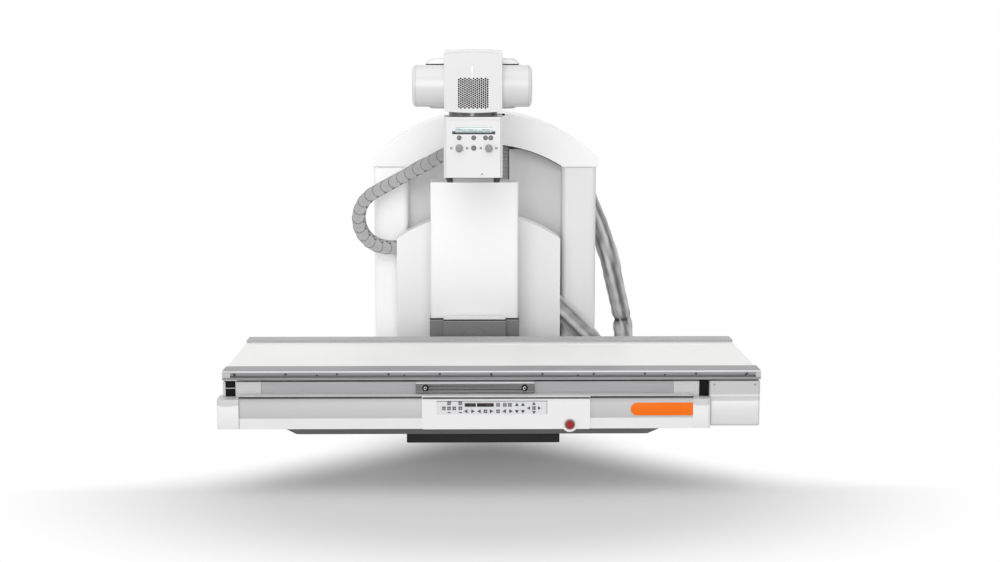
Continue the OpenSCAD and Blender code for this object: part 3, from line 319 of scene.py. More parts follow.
# The end box is darker towards the bottom as painted shade, then has a grey band as painted shade of a
# groove, a light line above it as a painted highlight, and grey above that.
gradient("end_box_white", 228, "Z", 0.258, 0.437, (0, -40), (0.04, -20), (0.1, -16), (0.35, -12),
         (0.55, 2), (0.56, -30), (0.66, -30), (0.67, -4), (0.69, -4), (0.7, -38), (1, -38))
# the carriage's upright plate is dark up to the column's seam and white above it
gradient("two_tone", 110, "Z", 0.5, 0.56, (0, 0), (0.49, 0), (0.51, 116), (1, 116), rough=0.45, haze=0)
print(len(finishes), "finishes")

# %% [markdown]
# ## Pieces as grids of points
# A small part such as a screw, a cap or a seam can be drawn by hand, but here each one is a formula:
# an outline carried through a profile gives rows and columns of points, and four neighbours make a
# face. numpy works all the points out at once. A part is a pair of points and faces, so that many can
# be joined into one mesh. A small class reads the box of a CAD node and lays thin plates on it.
# %% Grid parts
FACING = {  # the directions of a part's own width, height and outward side
    "front": ((1, 0, 0), (0, 0, 1), (0, -1, 0)),
    "back": ((-1, 0, 0), (0, 0, 1), (0, 1, 0)),
    "left": ((0, -1, 0), (0, 0, 1), (-1, 0, 0)),
    "right": ((0, 1, 0), (0, 0, 1), (1, 0, 0)),
    "top": ((1, 0, 0), (0, 1, 0), (0, 0, 1)),
}


def circle(turn):
    """Points of the unit circle at some angles."""
    return np.stack([np.cos(turn), np.sin(turn)], -1)


def round_angles(steps):
    """So many even angles in one full turn."""
    return np.linspace(0, 2 * math.pi, steps, endpoint=False)


def unit(vectors):
    """The directions of some vectors."""
    return vectors / np.linalg.norm(vectors, axis=1)[:, None]


def closed_grid(points, place=(0, 0, 0), facing="top"):
    """Rows of points round a part: neighbours make the walls, the first and last rows its two lids."""
    rows, columns = points.shape[:2]
    n = np.arange(rows * columns).reshape(rows, columns)
    n = np.hstack([n, n[:, :1]])
    walls = np.stack([n[:-1, :-1], n[:-1, 1:], n[1:, 1:], n[1:, :-1]], -1).reshape(-1, 4).tolist()
    lids = [n[0, -2::-1].tolist(), n[-1, :-1].tolist()]
    return points.reshape(-1, 3) @ np.array(FACING[facing], float) + np.array(place), walls + lids


def raised(flat, height, place, facing):
    """The closed grid of flat points at their heights over the facing plane."""
    height = np.broadcast_to(height, flat[..., :1].shape)
    return closed_grid(np.concatenate([flat, height], -1), place, facing)


def slab(place, width, height, thick, corner=0.0015, facing="front", rim=0.0005, steps=6):
    """A plate with round corners: four quarter circles, each moved out to its own corner, are carried
    from the back face to the front face and drawn in along a quarter circle at the rim."""
    corner = max(min(corner, width / 2, height / 2), rim)
    quarter = np.repeat(np.arange(4), steps + 1)
    turn = (quarter + np.tile(np.linspace(0, 1, steps + 1), 4)) * math.pi / 2
    side = np.stack([np.where(quarter % 3 == 0, 1, -1), np.where(quarter < 2, 1, -1)], -1)
    seat = side * (np.array([width, height]) / 2 - corner)
    bend = np.linspace(0, math.pi / 2, 4)
    inset = np.concatenate([[0], rim * (1 - np.cos(bend))])
    rise = np.concatenate([[0], thick - rim + rim * np.sin(bend)])
    flat = seat + circle(turn) * (corner - inset)[:, None, None]
    return raised(flat, rise[:, None, None], place, facing)


def turned(place, profile, facing="front", steps=40):
    """A profile of radii and heights, in metres, turned once round the outward direction."""
    radius, height = np.array(profile, float).T[..., None, None]
    return raised(circle(round_angles(steps)) * radius, height, place, facing)


def ribbon(path, half, thick, place):
    """A flat strip along a path on a front: each point of the path moves to both of its sides."""
    way = unit(np.gradient(path, axis=0))
    side = np.stack([-way[:, 1], way[:, 0]], -1)
    across = np.array([[-half, 0], [half, 0], [half, thick], [-half, thick]])
    return raised(path[:, None] + side[:, None] * across[None, :, :1], across[None, :, 1:], place, "front")


def strip(x0, x1, z0, z1, y, thick=0.0004, corner=0.0002):
    """A thin plate on a front face at y, between two places across and two heights."""
    return slab(((x0 + x1) / 2, y, (z0 + z1) / 2), x1 - x0, z1 - z0, thick, corner, rim=0.0001, steps=3)


def stud(x, y, z, radius, rise, facing="front"):
    """A low screw head with a rounded rim and a sunk middle."""
    shares = ((1, 0), (1, 0.7), (0.93, 1), (0.5, 1), (0.42, 0.5))
    return turned((x, y, z), [(radius * a, rise * b) for a, b in shares], facing, 20)


print("a slab has", len(slab((0, 0, 0), 1, 1, 0.1)[1]), "faces")

# %% Pieces and boxes
def mesh_object(name, points, faces, sharp=35):
    """A mesh object at the origin with outward faces, smooth but for edges sharper than the angle."""
    mesh = bpy.data.meshes.new(name)
    mesh.from_pydata(points, [], faces)
    mesh.validate()
    mesh.shade_smooth()
    mesh.set_sharp_from_angle(angle=math.radians(sharp))
    made = bpy.data.objects.new(name, mesh)
    bpy.context.scene.collection.objects.link(made)
    return made


def piece(name, parts, finish, body, slot):
    """Joins parts into one mesh, gives it its finish, and lets it ride on its body; the slot is not used.
    """
    starts = np.cumsum([0] + [len(points) for points, _ in parts]).tolist()
    faces = [[start + i for i in face] for (_, some), start in zip(parts, starts) for face in some]
    made = mesh_object(name, np.concatenate([points for points, _ in parts]), faces)
    made.data.materials.append(finishes[finish])
    if body:
        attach(made, body)
    return made


class Box:
    """The box of a CAD node: its lowest corner x0, y0, z0 and its highest x1, y1, z1, its middle x, y, z
    and its size wide, deep, tall."""

    def __init__(self, node):
        self.low, self.high = (np.array(corner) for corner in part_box(node))
        self.x0, self.y0, self.z0 = self.low
        self.x1, self.y1, self.z1 = self.high
        self.x, self.y, self.z = (self.low + self.high) / 2
        self.wide, self.deep, self.tall = self.high - self.low

    def lid(self, y, narrower, deep, thick=0.0004, corner=0.001, rim=0.0001):
        """A thin plate on the box's top round the place y, so much narrower than the box."""
        return slab((self.x, y, self.z1), self.wide - narrower, deep, thick, corner, "top", rim)

    def strip(self, x0, x1, z0, z1, out=0.0, thick=0.0004, corner=0.0002):
        """A thin plate so far out of the box's front. Each place counts from the low side, or back from
        the high side where it has a minus sign, so that -0.0 is the high side itself."""
        places = [(self.high if math.copysign(1, way) < 0 else self.low)[axis] + way
                  for axis, way in ((0, x0), (0, x1), (2, z0), (2, z1))]
        return strip(*places, self.y0 - out, thick, corner)


print("the front rail is", round(Box("front_rail").wide, 3), "m long")

# %% [markdown]
# ## Floor, light and background
# The machine stands in a bright studio. A floor disc takes its soft shadow, and far from the machine it
# fades into white for the camera and for mirrors only, so that the light on the object doesn't change. Near
# the machine some of that white is mixed in as well, over an oval that is narrower behind the table than in
# front of it: painted light that lightens the floor's shadow and trims its shape. The world, too, is white
# where it is seen, and plain where it lights. Three distant, wide lamps light near and far covers alike,
# about as bright as their paint is written.
# %% Stage
def seen_directly(tree):
    """1 for rays from the camera and from glossy or clear surfaces, 0 for rays that carry light."""
    rays = add_node(tree, "LightPath").outputs
    first = reckon(tree, "MAXIMUM", rays["Is Camera Ray"], rays["Is Glossy Ray"])
    return reckon(tree, "MAXIMUM", first, rays["Is Transmission Ray"])


ground = Finish("studio_floor", 217, Roughness=0.6, Specular_IOR_Level=0.2)
at = ground.add("SeparateXYZ", {"Vector": ground.where}).outputs
# Even under the table at least 0.15 of white is mixed in for the camera: painted light on the floor's
# shadow, trimmed by an oval narrower behind than in front.
across = reckon(ground.tree, "MULTIPLY", at["X"], ground.spread(at["Y"], 0.62, 1.45, -1.5, -0.8))
along = reckon(ground.tree, "MULTIPLY_ADD", at["Y"], 0.93, 1.35)
shadow_trim_oval = ground.add("CombineXYZ", {"X": across, "Y": along}).outputs[0]
away = ground.add("VectorMath", {0: shadow_trim_oval}, operation="LENGTH").outputs["Value"]
fade = ground.spread(away, 0.15, 1, 0.5, 1.25, interpolation_type="SMOOTHSTEP")
shown = reckon(ground.tree, "MULTIPLY", fade, seen_directly(ground.tree))
white = ground.add("Emission", {"Color": (1, 1, 1, 1), "Strength": 1.0}).outputs[0]
mixed = ground.add("MixShader", {0: shown, 1: ground.shader.outputs[0], 2: white}).outputs[0]
ground.tree.links.new(mixed, ground.tree.nodes["Material Output"].inputs["Surface"])

FLOOR_REACH, FLOOR_RINGS, FLOOR_SIDES = 40.0, 24, 64
reach = np.linspace(0.01, 1, FLOOR_RINGS)[:, None, None] ** 2 * FLOOR_REACH
floor_points, floor_faces = raised(circle(round_angles(FLOOR_SIDES)) * reach, 0.0, (0, 0, 0), "top")
floor = mesh_object("floor", floor_points, floor_faces[:-1])
floor.data.materials.append(ground.material)
floor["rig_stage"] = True

world = bpy.data.worlds.new("studio")
world.use_nodes = True
bpy.context.scene.world = world
WORLD_LIGHT = 0.51
sky = world.node_tree
background = sky.nodes["Background"].inputs
strength = add_node(sky, "MapRange", {"Value": seen_directly(sky), "To Min": WORLD_LIGHT})
sky.links.new(strength.outputs[0], background["Strength"])
background["Color"].default_value = (1, 1, 1, 1)


def lamp(name, way, strength, spread):
    """A distant lamp that shines along a direction, as wide in the sky as the spread in degrees."""
    light = bpy.data.lights.new(name, "SUN")
    light.energy, light.angle = strength, math.radians(spread)
    made = bpy.data.objects.new(name, light)
    made.rotation_mode = "QUATERNION"
    made.rotation_quaternion = Vector(way).to_track_quat("-Z", "Y")
    bpy.context.scene.collection.objects.link(made)


lamp("front lamp", (1.2, 12.5, -3.2), 1.32, 34)
lamp("top lamp", (0.5, 1.8, -8.0), 0.76, 55)
lamp("side lamp", (6.5, 3.0, -2.0), 0.28, 35)
bpy.context.scene.view_settings.view_transform = "Standard"
print("floor of", 2 * FLOOR_REACH, "m, 3 lamps")

# %% [markdown]
# ## The cable sleeve
# The cables of the lift run in a fabric sleeve. It leaves the right side of the stand, hangs in a loop
# and comes back up to the lift cover. It could be a curve with a bevel, but a real sleeve is slack
# cloth: it has long folds that wander round it, short creases where it bends, and a strap that pulls
# it in. So the sleeve is a tube whose radius is a function of the angle and of the way along it.
# %% Sleeve
SLEEVE_ROUTE = np.array([  # the sleeve's middle line, in metres, from the stand round to the lift
    [.47, .13, 1.075], [.503, .13, 1.003], [.536, .13, .928], [.567, .13, .85], [.592, .13, .77],
    [.614, .13, .69], [.634, .13, .605], [.652, .13, .53], [.668, .13, .46], [.678, .13, .393],
    [.682, .13, .32], [.682, .13, .25], [.673, .11, .169], [.649, .056, .11], [.616, -.018, .088],
    [.583, -.091, .11], [.559, -.145, .169], [.549, -.165, .25], [.534, -.165, .318],
    [.498, -.165, .372], [.455, -.165, .415], [.413, -.165, .457], [.371, -.165, .499],
    [.335, -.165, .535], [.305, -.165, .565]])
SLEEVE_R, RINGS, SIDES = 0.042, 300, 96
TIE_AT = 0.384  # how far along the sleeve its strap sits


def smooth_path(points, count):
    """Evenly spaced points on the smooth curve through some points: between two of them each
    coordinate is a cubic whose slope at a point is the half step between its neighbours."""
    ends = np.concatenate([[2 * points[0] - points[1]], points, [2 * points[-1] - points[-2]]])
    t = np.linspace(0, len(points) - 1 - 1e-9, 6 * count)
    i = t.astype(int)
    f = (t - i)[:, None]
    a, b, c, d = ends[i], ends[i + 1], ends[i + 2], ends[i + 3]
    fine = b + 0.5 * f * (c - a + f * (2 * a - 5 * b + 4 * c - d + f * (3 * (b - c) + d - a)))
    run = np.concatenate([[0], np.cumsum(np.linalg.norm(np.diff(fine, axis=0), axis=1))])
    even = np.linspace(0, run[-1], count)
    return np.stack([np.interp(even, run, fine[:, k]) for k in range(3)], -1), run[-1]


def sleeve_grid(path, radius, sides, folds):
    """Rings square to the path. The radius swells and sinks by the folds' function of the angle and of
    the way along, and every ring starts from the same side of the path."""
    way = unit(np.gradient(path, axis=0))
    a = unit(np.cross(way, np.array([1, 0, 1]) / math.sqrt(2)))[:, None]
    b = np.cross(way[:, None], a)
    turn = round_angles(sides)[None, :]
    r = radius * folds(turn, np.linspace(0, 1, len(path))[:, None])
    return path[:, None] + r[..., None] * (np.cos(turn)[..., None] * a + np.sin(turn)[..., None] * b)


def cloth_folds(turn, along):
    """Long folds that drift round the sleeve, finer creases between them and at the bends, drawn
    tight at the strap and at both clamps, and slack just below the strap."""
    held = np.exp(-((along - TIE_AT) / 0.009) ** 2) * (0.6 + 0.4 * np.cos(turn - 0.9))
    slack = 0.07 * np.exp(-((along - TIE_AT - 0.034) / 0.016) ** 2)
    ends = np.exp(-along / 0.02) + np.exp(-(1 - along) / 0.02)
    drift = 1.6 * np.sin(5.2 * along + 0.7) + 0.5 * np.sin(17 * along)
    long_folds = 0.12 * np.cos(4 * turn + 2.2 * drift + 2.4) + 0.07 * np.cos(7 * turn - 3 * drift + 1.1)
    creases = 0.026 * np.cos(150 * along + 3 * np.cos(turn + 9 * along))
    creases = creases * (0.3 + np.abs(np.sin(31 * along)))
    near = 0.06 * np.exp(-((along - TIE_AT - 0.01) / 0.034) ** 2)
    pucker = near * np.cos(8 * turn + 150 * along + 2 * np.sin(3 * turn))
    free = 1 - 0.6 * np.clip(held + ends, 0, 1)
    return 0.985 + (long_folds + creases) * free + pucker + slack - 0.15 * held


def read(data, name, width, kind=float):
    """A property of all items of a mesh as an array, with one row for each item."""
    values = np.zeros(len(data) * width, kind)
    data.foreach_get(name, values)
    return values.reshape(-1, width)


sleeve_path, sleeve_length = smooth_path(SLEEVE_ROUTE, RINGS)
sleeve_skin = closed_grid(sleeve_grid(sleeve_path, SLEEVE_R, SIDES, cloth_folds))
sleeve = mesh_object("cable_sleeve_cloth", *sleeve_skin, sharp=80)
height = cloth_folds(round_angles(SIDES)[None, :], np.linspace(0, 1, RINGS)[:, None])
fold = sleeve.data.attributes.new("fold", "FLOAT", "POINT")
fold.data.foreach_set("value", height.ravel().astype(np.float32))
row, side = np.divmod(read(sleeve.data.loops, "vertex_index", 1, np.int32)[:, 0], SIDES)
lays = np.stack([side / SIDES * 2 * math.pi * SLEEVE_R, row / RINGS * sleeve_length], -1)
sleeve.data.uv_layers.new(name="cloth").data.foreach_set("uv", lays.ravel())
print("sleeve", round(sleeve_length, 3), "m long,", len(sleeve.data.polygons), "faces")

# %% Sleeve cloth
cloth = Finish("sleeve_cloth", 186, (1, 1, 1.005), place="UV", Roughness=0.85, Sheen_Weight=0.25,
               Sheen_Roughness=0.5, Specular_IOR_Level=0.25)
threads = [cloth.add("TexWave", {"Vector": cloth.where, "Scale": 170.0, "Distortion": 0.6},
                     bands_direction=axis).outputs["Fac"] for axis in "XY"]
weave = reckon(cloth.tree, "MULTIPLY", *threads)
soil = cloth.spread(cloth.noise(14, stretch=(1.6, 0.5, 1), detail=4), -0.12, 0.12)
# The cloth is darker in the hollows of its folds and lighter on their crests: painted shade and painted
# highlight from the fold height. The soil noise is only uneven tone.
fold_shade = cloth.spread(cloth.add("Attribute", attribute_name="fold").outputs["Fac"], 0.05, 0.9, 0.82, 1.14)
cloth.colours(reckon(cloth.tree, "ADD", fold_shade, soil), (0, -80), (0.3, -42), (0.6, -6), (1, 24))
rumple = cloth.bump(cloth.noise(30, stretch=(1, 0.45, 1), detail=4), 0.01, 0.6)
cloth.bump(weave, 0.0004, 0.35, over=rumple)
sleeve.data.materials.append(cloth.material)


def strap_fold(turn, along):
    """The strap is nearly round, with a faint echo of the folds under it."""
    return 0.885 + 0.02 * np.cos(4 * turn + 3) + 0 * along


tie_row = int(TIE_AT * RINGS)
strap_skin = sleeve_grid(sleeve_path[tie_row - 1:tie_row + 2], SLEEVE_R + 0.0012, 64, strap_fold)
strap = mesh_object("sleeve_strap", *closed_grid(strap_skin))
strap.data.materials.append(finishes["shadow_rubber"])

for soft in (sleeve, strap):
    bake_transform(soft)
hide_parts("cable_sleeve")
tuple(sleeve_path[0])
print("strap at", [round(float(x), 3) for x in sleeve_path[tie_row]])

# %% [markdown]
# ## Rounded skins for the solids
# Real sheet and castings never have a knife edge: a radius of a millimetre or two catches a line of
# light, and without it a machine looks drawn. The solids can't be changed, so each one gets a skin: a
# copy with its loose triangles merged, its flat areas joined and its sharp edges rounded by a Bevel
# modifier. The skin stands for the solid and rides on the same body.
# %% Skins
import bmesh

SHARP = 30  # degrees between two faces that make an edge sharp


def triangles(node):
    """The points of a CAD node and its triangles, as arrays."""
    mesh = frame["nodes"][node].data
    mesh.calc_loop_triangles()
    return read(mesh.vertices, "co", 3), read(mesh.loop_triangles, "vertices", 3, np.int32)


def merged(name, points, faces):
    """A mesh object of loose triangles whose common points are merged and whose flat areas are joined."""
    made = mesh_object(name, points, faces, 180)
    solid = bmesh.new()
    solid.from_mesh(made.data)
    bmesh.ops.remove_doubles(solid, verts=solid.verts, dist=1e-5)
    bmesh.ops.dissolve_limit(solid, angle_limit=math.radians(0.6), verts=solid.verts, edges=solid.edges)
    bmesh.ops.connect_verts_concave(solid, faces=solid.faces)
    solid.to_mesh(made.data)
    solid.free()
    made.data.shade_smooth()
    made.data.set_sharp_from_angle(angle=math.radians(SHARP))
    return made


def rounded(made, radius, steps=2):
    """Rounds every sharp edge."""
    edge = made.modifiers.new("rounded edges", "BEVEL")
    edge.width, edge.segments = radius, steps
    edge.limit_method, edge.angle_limit = "ANGLE", math.radians(SHARP)
    edge.harden_normals = True


def skin(node, finish, radius, slot):
    """A rounded copy of a CAD node with its finish that rides on its body and stands for it."""
    made = merged(node + "_skin", *triangles(node))
    if radius:
        rounded(made, radius)
    made.data.materials.append(finishes[finish])
    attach(made, frame["nodes"][node]["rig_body"])
    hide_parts(node)
    return made


# guide_frame takes cover_white instead of a steel grey: painted light that lifts its shade inside the
# stand. The whites and greys named here are painted light and shade, as said where they are made.
SKINS = """ finish, edge radius in millimetres, nodes; a node may name another slot than its solid's
hood_white 3 hood
left_white 2 left_pillar_cover
right_white 2 right_pillar_cover
panel_grey 1 recess_panels
cover_white 2 back_cover
dark_grey 3 base_plate
dark_grey 4 pedestal
cover_white 2 guide_frame
machined_steel 1 lead_screw
machined_steel 2 lift_slide
dark_grey 3 lift_drive
frame_grey 3 lift_arm
machined_steel 2 tilt_bearing
dark_grey 3 tilt_drive
cover_white 3 arch_cover
machined_steel 1 tilt_hub
block_grey 3 support_console
block_grey 2 cross_members=steel
beam_grey 1.5 front_beam=pale_frame rear_beam=pale_frame
frame_grey 2 end_frames
machined_steel 1 guide_rails cross_slides
dark_grey 2 bottom_pan
front_white 1.2 fascia
cap_white 3 fascia_caps
end_box_white 5 end_box
box_white 1.5 control_box
key_foil 0.4 keypad
stop_red 0.8 stop_button
table_laminate 2 table_panel
rail_alloy 1.2 front_rail
rear_alloy 1.2 rear_rail
two_tone 0.8 carriage_frame=steel
block_grey 4 detector_housing
plate_alloy 1 carriage_plate=housing_alloy
black_plastic 1 lock_knob_left lock_knob_right
foot_grey 3 column_base
column_white 4 column_cover
pale_grey 1.5 column_cap=pale_cover
machined_steel 3 mast
cover_white 3 tube_arm
bright_white 4 rear_head_cover
black_plastic 0.8 cooler=housing_alloy
head_white 4 tube_housing
polished_steel 1.5 tube_collar=steel
box_white 0 collimator_cover
shadow_rubber 1 accessory_rails=dark_cover
knob_plastic 1 field_knob_left field_knob_right
key_plastic 1 light_button format_key_1 format_key_2 format_key_3 format_key_4
shadow_rubber 0.5 display_panel
head_white 0 head_cover"""
for row in SKINS.splitlines()[1:]:
    finish, radius, *nodes = row.split()
    for entry in nodes:
        node, _, slot = entry.partition("=")
        skin(node, finish, float(radius) * MM, slot or frame["nodes"][node].data.materials[0].name)
print(len(SKINS.splitlines()) - 1, "kinds of skins")

# %% [markdown]
# ## Covers with many holes
# Behind the grille sits the cooler of the x-ray tube, so the head's cover has about two hundred small
# holes, and the collimator's front has holes for its keys. A bevel over all edges would spend itself on
# the holes and clamp the radius to almost nothing. The Bevel modifier can also follow a weight on each
# edge: only the long outer edges get one.
# %% Head cover
def rounded_outside(node, side, top, radius):
    """Rounds the sharp edges of a cover's skin except those of the holes in its front: a hole's edge
    lies nearer to the middle than the margins to the sides and to the top and bottom."""
    made, cover = bpy.data.objects[node + "_skin"], Box(node)
    ends = read(made.data.edges, "vertices", 2, np.int32)
    x, y, z = read(made.data.vertices, "co", 3)[ends].mean(1).T
    hole = (x > cover.x0 + side) & (x < cover.x1 - side) & (y < cover.y0 + 0.02)
    hole &= (z > cover.z0 + top) & (z < cover.z1 - top)
    sharp = read(made.data.attributes["sharp_edge"].data, "value", 1, bool)[:, 0]
    weight = made.data.attributes.new("bevel_weight_edge", "FLOAT", "EDGE")
    outer = sharp & ~hole
    weight.data.foreach_set("value", outer.astype(np.float32))
    rounded(made, radius, 3)
    made.modifiers["rounded edges"].limit_method = "WEIGHT"
    print(node, "has", outer.sum(), "rounded edges, and", (sharp & hole).sum(), "belong to holes")
    return made, cover


head, head_box = rounded_outside("head_cover", 0.035, 0.012, 2.5 * MM)
rounded_outside("collimator_cover", 0.01, 0.01, 2 * MM)
# The walls of the grille's holes are black: painted shade that makes the holes read dark.
head.data.materials.append(finishes["black_plastic"])  # for the walls of the holes
x, y, z = (read(head.data.polygons, "center", 3) - (head_box.low + head_box.high) / 2).T
flank = np.abs(read(head.data.polygons, "normal", 3)[:, 1]) < 0.5
hole_wall_shade = flank & (y < 0.005 - head_box.deep / 2) & (np.abs(x) < 0.07) & (np.abs(z + 0.05) < 0.07)
head.data.polygons.foreach_set("material_index", hole_wall_shade.astype(np.int32))
print("head cover", (head_box.high - head_box.low).round(3).tolist(), "m")

# %% [markdown]
# ## The energy chain
# A chain of nylon links guides the cables from the lift cover up to the column. In the solids it is one
# body; here it would have to follow four joints in turn: the tilt, the column's travel, its angle and the
# lift of the mast. So its links are sorted into four runs, one for each joint. Links are told apart by
# which triangles hang together.
# %% Chain
LINKS = 21
chain_points, chain_faces = triangles("energy_chain")
at, where = np.unique(np.round(chain_points / 1e-5).astype(np.int64), axis=0, return_inverse=True)
chain_faces = where.ravel()[chain_faces]
chain_points = at * 1e-5
group = np.arange(len(chain_points))
while True:  # each point takes the lowest number among its triangles until nothing changes
    lowest = group.copy()
    np.minimum.at(lowest, chain_faces.ravel(), np.repeat(group[chain_faces].min(1), 3))
    if (lowest == group).all():
        break
    group = lowest
print(len(np.unique(group)), "links in", len(chain_faces), "triangles")

# %% The chain's middle line
PITCH, BEND_R, LEVEL, SLOPE = 0.042, 0.136, 0.074, math.radians(28.5)
chain = Box("energy_chain")
bend_at = np.array([Box("arch_cover").x0 - 0.0425, chain.z0 + 0.029 + BEND_R])
bend_run = (math.pi - SLOPE) * BEND_R


def chain_at(s):
    """Points of the middle line in X and Z, s metres from its lower end: a level run, an arc, a slope."""
    s = np.atleast_1d(np.asarray(s, float))
    arc = bend_at + BEND_R * circle(-math.pi / 2 - np.clip(s - LEVEL, 0, bend_run) / BEND_R)
    before = np.clip(LEVEL - s, 0, None)[:, None] * np.array([1, 0])
    after = np.clip(s - LEVEL - bend_run, 0, None)[:, None] * circle(SLOPE)
    return arc + before + after


link_start = chain_at(np.arange(LINKS) * PITCH)
link_way = unit(chain_at((np.arange(LINKS) + 1) * PITCH) - link_start)
link_middle = link_start + link_way * PITCH / 2
ids, id_of = np.unique(group, return_inverse=True)
centres = np.stack([chain_points[group == i].mean(0) for i in ids])[:, [0, 2]]
nearest = np.linalg.norm(centres[:, None] - link_middle, axis=-1).argmin(1)
link_of_face = nearest[id_of.ravel()[chain_faces[:, 0]]]
print("parts per link", np.bincount(nearest, minlength=LINKS).tolist())


def chain_marks(links):
    """Dark joints on the front of some links: the arc where a link meets the one before, and the notch
    at its inner edge."""
    parts, front = [], (0, chain.y0, 0)
    for i in links:
        back = math.atan2(link_way[i][1], link_way[i][0]) + math.pi
        arc = link_start[i] + 0.0275 * circle(back + np.linspace(-1.75, 1.75, 25))
        inward = np.array([link_way[i][1], -link_way[i][0]])
        notch = link_middle[i] + 0.0245 * inward + np.linspace(-0.005, 0.005, 3)[:, None] * link_way[i]
        parts += [ribbon(arc, 0.0006, 0.0004, front), ribbon(notch, 0.0022, 0.0005, front)]
    return parts


def chain_run(name, links, start, end):
    """One run of links with its marks."""
    run = merged(name, chain_points, chain_faces[np.isin(link_of_face, links)].tolist())
    rounded(run, 0.8 * MM, 1)
    run.data.materials.append(finishes["chain_nylon"])
    marks = piece(name + "_marks", chain_marks(links), "dark_line", None, "chain_grey")
    for soft in (run, marks):
        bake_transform(soft)
        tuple(start)
    return run


def up_to(links_back):
    """A point on the straight run, so many links back from its upper end."""
    x, z = chain_at((LINKS - links_back) * PITCH)[0]
    return (x, 0, z)


foot = (0, 0, chain.z0)
chain_run("chain_to_mast", range(18, 21), up_to(3), up_to(0))
chain_run("chain_to_column", range(16, 18), up_to(5), up_to(3))
chain_run("chain_to_carriage", range(10, 16), up_to(11), up_to(5))
bend = chain_run("chain_bend", range(10), foot, (0, 0, chain.z0 + 0.3))
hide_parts("energy_chain")
print("middle line from", chain_at(0)[0].round(3), "to", chain_at(LINKS * PITCH)[0].round(3))

# %% [markdown]
# ## Rails of the tabletop
# The patient lies on a white laminate between two extruded rails that also take clamps and straps.
# An extrusion shows as lines of light along its whole length: a bright lip, a darker face with its
# groove, a thin foot. Each line is a strip a few tenths of a millimetre proud, placed from the rail's
# own box. The studs and screws of the rail repeat every 200 mm, so one loop makes them all.
# %% Rails
rail, rear_rail, top = Box("front_rail"), Box("rear_rail"), Box("table_panel")
on_rail = ("tabletop", "rail_alloy")  # the body and the slot of its pieces
face = rail.y0
# The lip line is a painted highlight along the rail's top edge; the face bands and the groove floor are
# painted shade.
piece("rail_lip_line", [rail.strip(0, -0.0, -0.0065, -0.0015)], "lip_line", *on_rail)
piece("rail_foot_line", [rail.strip(0, -0.0, 0, 0.0032)], "mid_line", *on_rail)
bands = [rail.strip(0, -0.0, 0.0184, -0.0068, 0, 0.0003), rail.strip(0, -0.0, 0.0034, 0.0098, 0, 0.0003)]
piece("rail_face_shade", bands, "band_alloy", *on_rail)
piece("rail_groove_shade", [rail.strip(0, -0.0, 0.0102, 0.0178, -0.0088)], "dark_grey", *on_rail)
caps = [strip(x0, x1, rail.z0 + 0.01, rail.z1 - 0.009, face, 0.0009, 0.002)
        for x0, x1 in ((rail.x0 - 0.0008, rail.x0 + 0.031), (rail.x1 - 0.02, rail.x1 + 0.0008))]
piece("rail_ends", caps, "seam_line", *on_rail)
RAIL_MIDDLE, STUD_PITCH = 1.046, 0.2
studs = [stud(rail.x0 + RAIL_MIDDLE + STUD_PITCH * k, face - 0.0003, rail.z1 - 0.0135, 0.0045, 0.0022)
         for k in range(-5, 6)]
piece("rail_studs", studs, "shadow_rubber", *on_rail)
screws = [stud(rail.x0 + x, face - 0.0003, rail.z1 - 0.018, 0.0031, 0.0008)
          for x in (0.05, 0.368, 0.707, RAIL_MIDDLE, 1.384, 1.724, 2.04)]
piece("rail_screws", screws, "black_plastic", *on_rail)
piece("rear_rail_line", [rear_rail.lid(rear_rail.y0 + 0.004, 0, 0.005)], "mid_line", *on_rail)
channel = top.lid(top.y1 - 0.034, 0.01, 0.052, 0.0003, 0.002)
piece("tabletop_channel", [channel], "table_laminate", "tabletop", "panel_carbon")
print("rail face at y", round(face, 4))

# %% [markdown]
# ## The frame behind the front cover
# Under the tabletop the beam of the frame can be seen between its two welded end frames. At the left the
# drive of the sideways travel ends in a black bracket with a pale cheek, and at the right a black shield
# closes the space to the end box. Both are black as painted shade: they fill the dark gaps at the frame's
# two ends.
# %% Frame
beam, ends, caps, end_box, pan = (
    Box(node) for node in ("front_beam", "end_frames", "fascia_caps", "end_box", "bottom_pan"))
END_WIDTH = 0.2  # the end box's front
bracket_x, shield_x = ends.x0 - 0.0205, end_box.x - END_WIDTH / 2


def upright(x, width, back, thick, corner=0.001):
    """A block from the front cover's top to the beam's top, so far behind the end frames' front."""
    return slab((x, ends.y0 + back, (caps.z1 + beam.z1) / 2), width,
                beam.z1 - caps.z1 - 0.002, thick, corner)


on_frame = ("table_frame", "steel")
# Both black blocks are painted shade that fills the dark gaps at the frame's ends; the left one is also
# drawn as the drive's bracket.
gap_shade_blocks = [upright(bracket_x, 0.036, 0.03, 0.024), upright(shield_x, 0.0375, 0.01, 0.004)]
piece("drive_bracket", gap_shade_blocks, "black_plastic", *on_frame)
line = strip(bracket_x - 0.018, bracket_x + 0.018, 0.4075, 0.4105, ends.y0 + 0.006)
piece("drive_bracket_line", [line], "seam_line", *on_frame)
piece("bracket_cheek", [upright(bracket_x - 0.0245, 0.011, 0.034, 0.026, 0.003)], "frame_grey", *on_frame)
PAN_IN = 0.05  # how far the pan's ends slope in


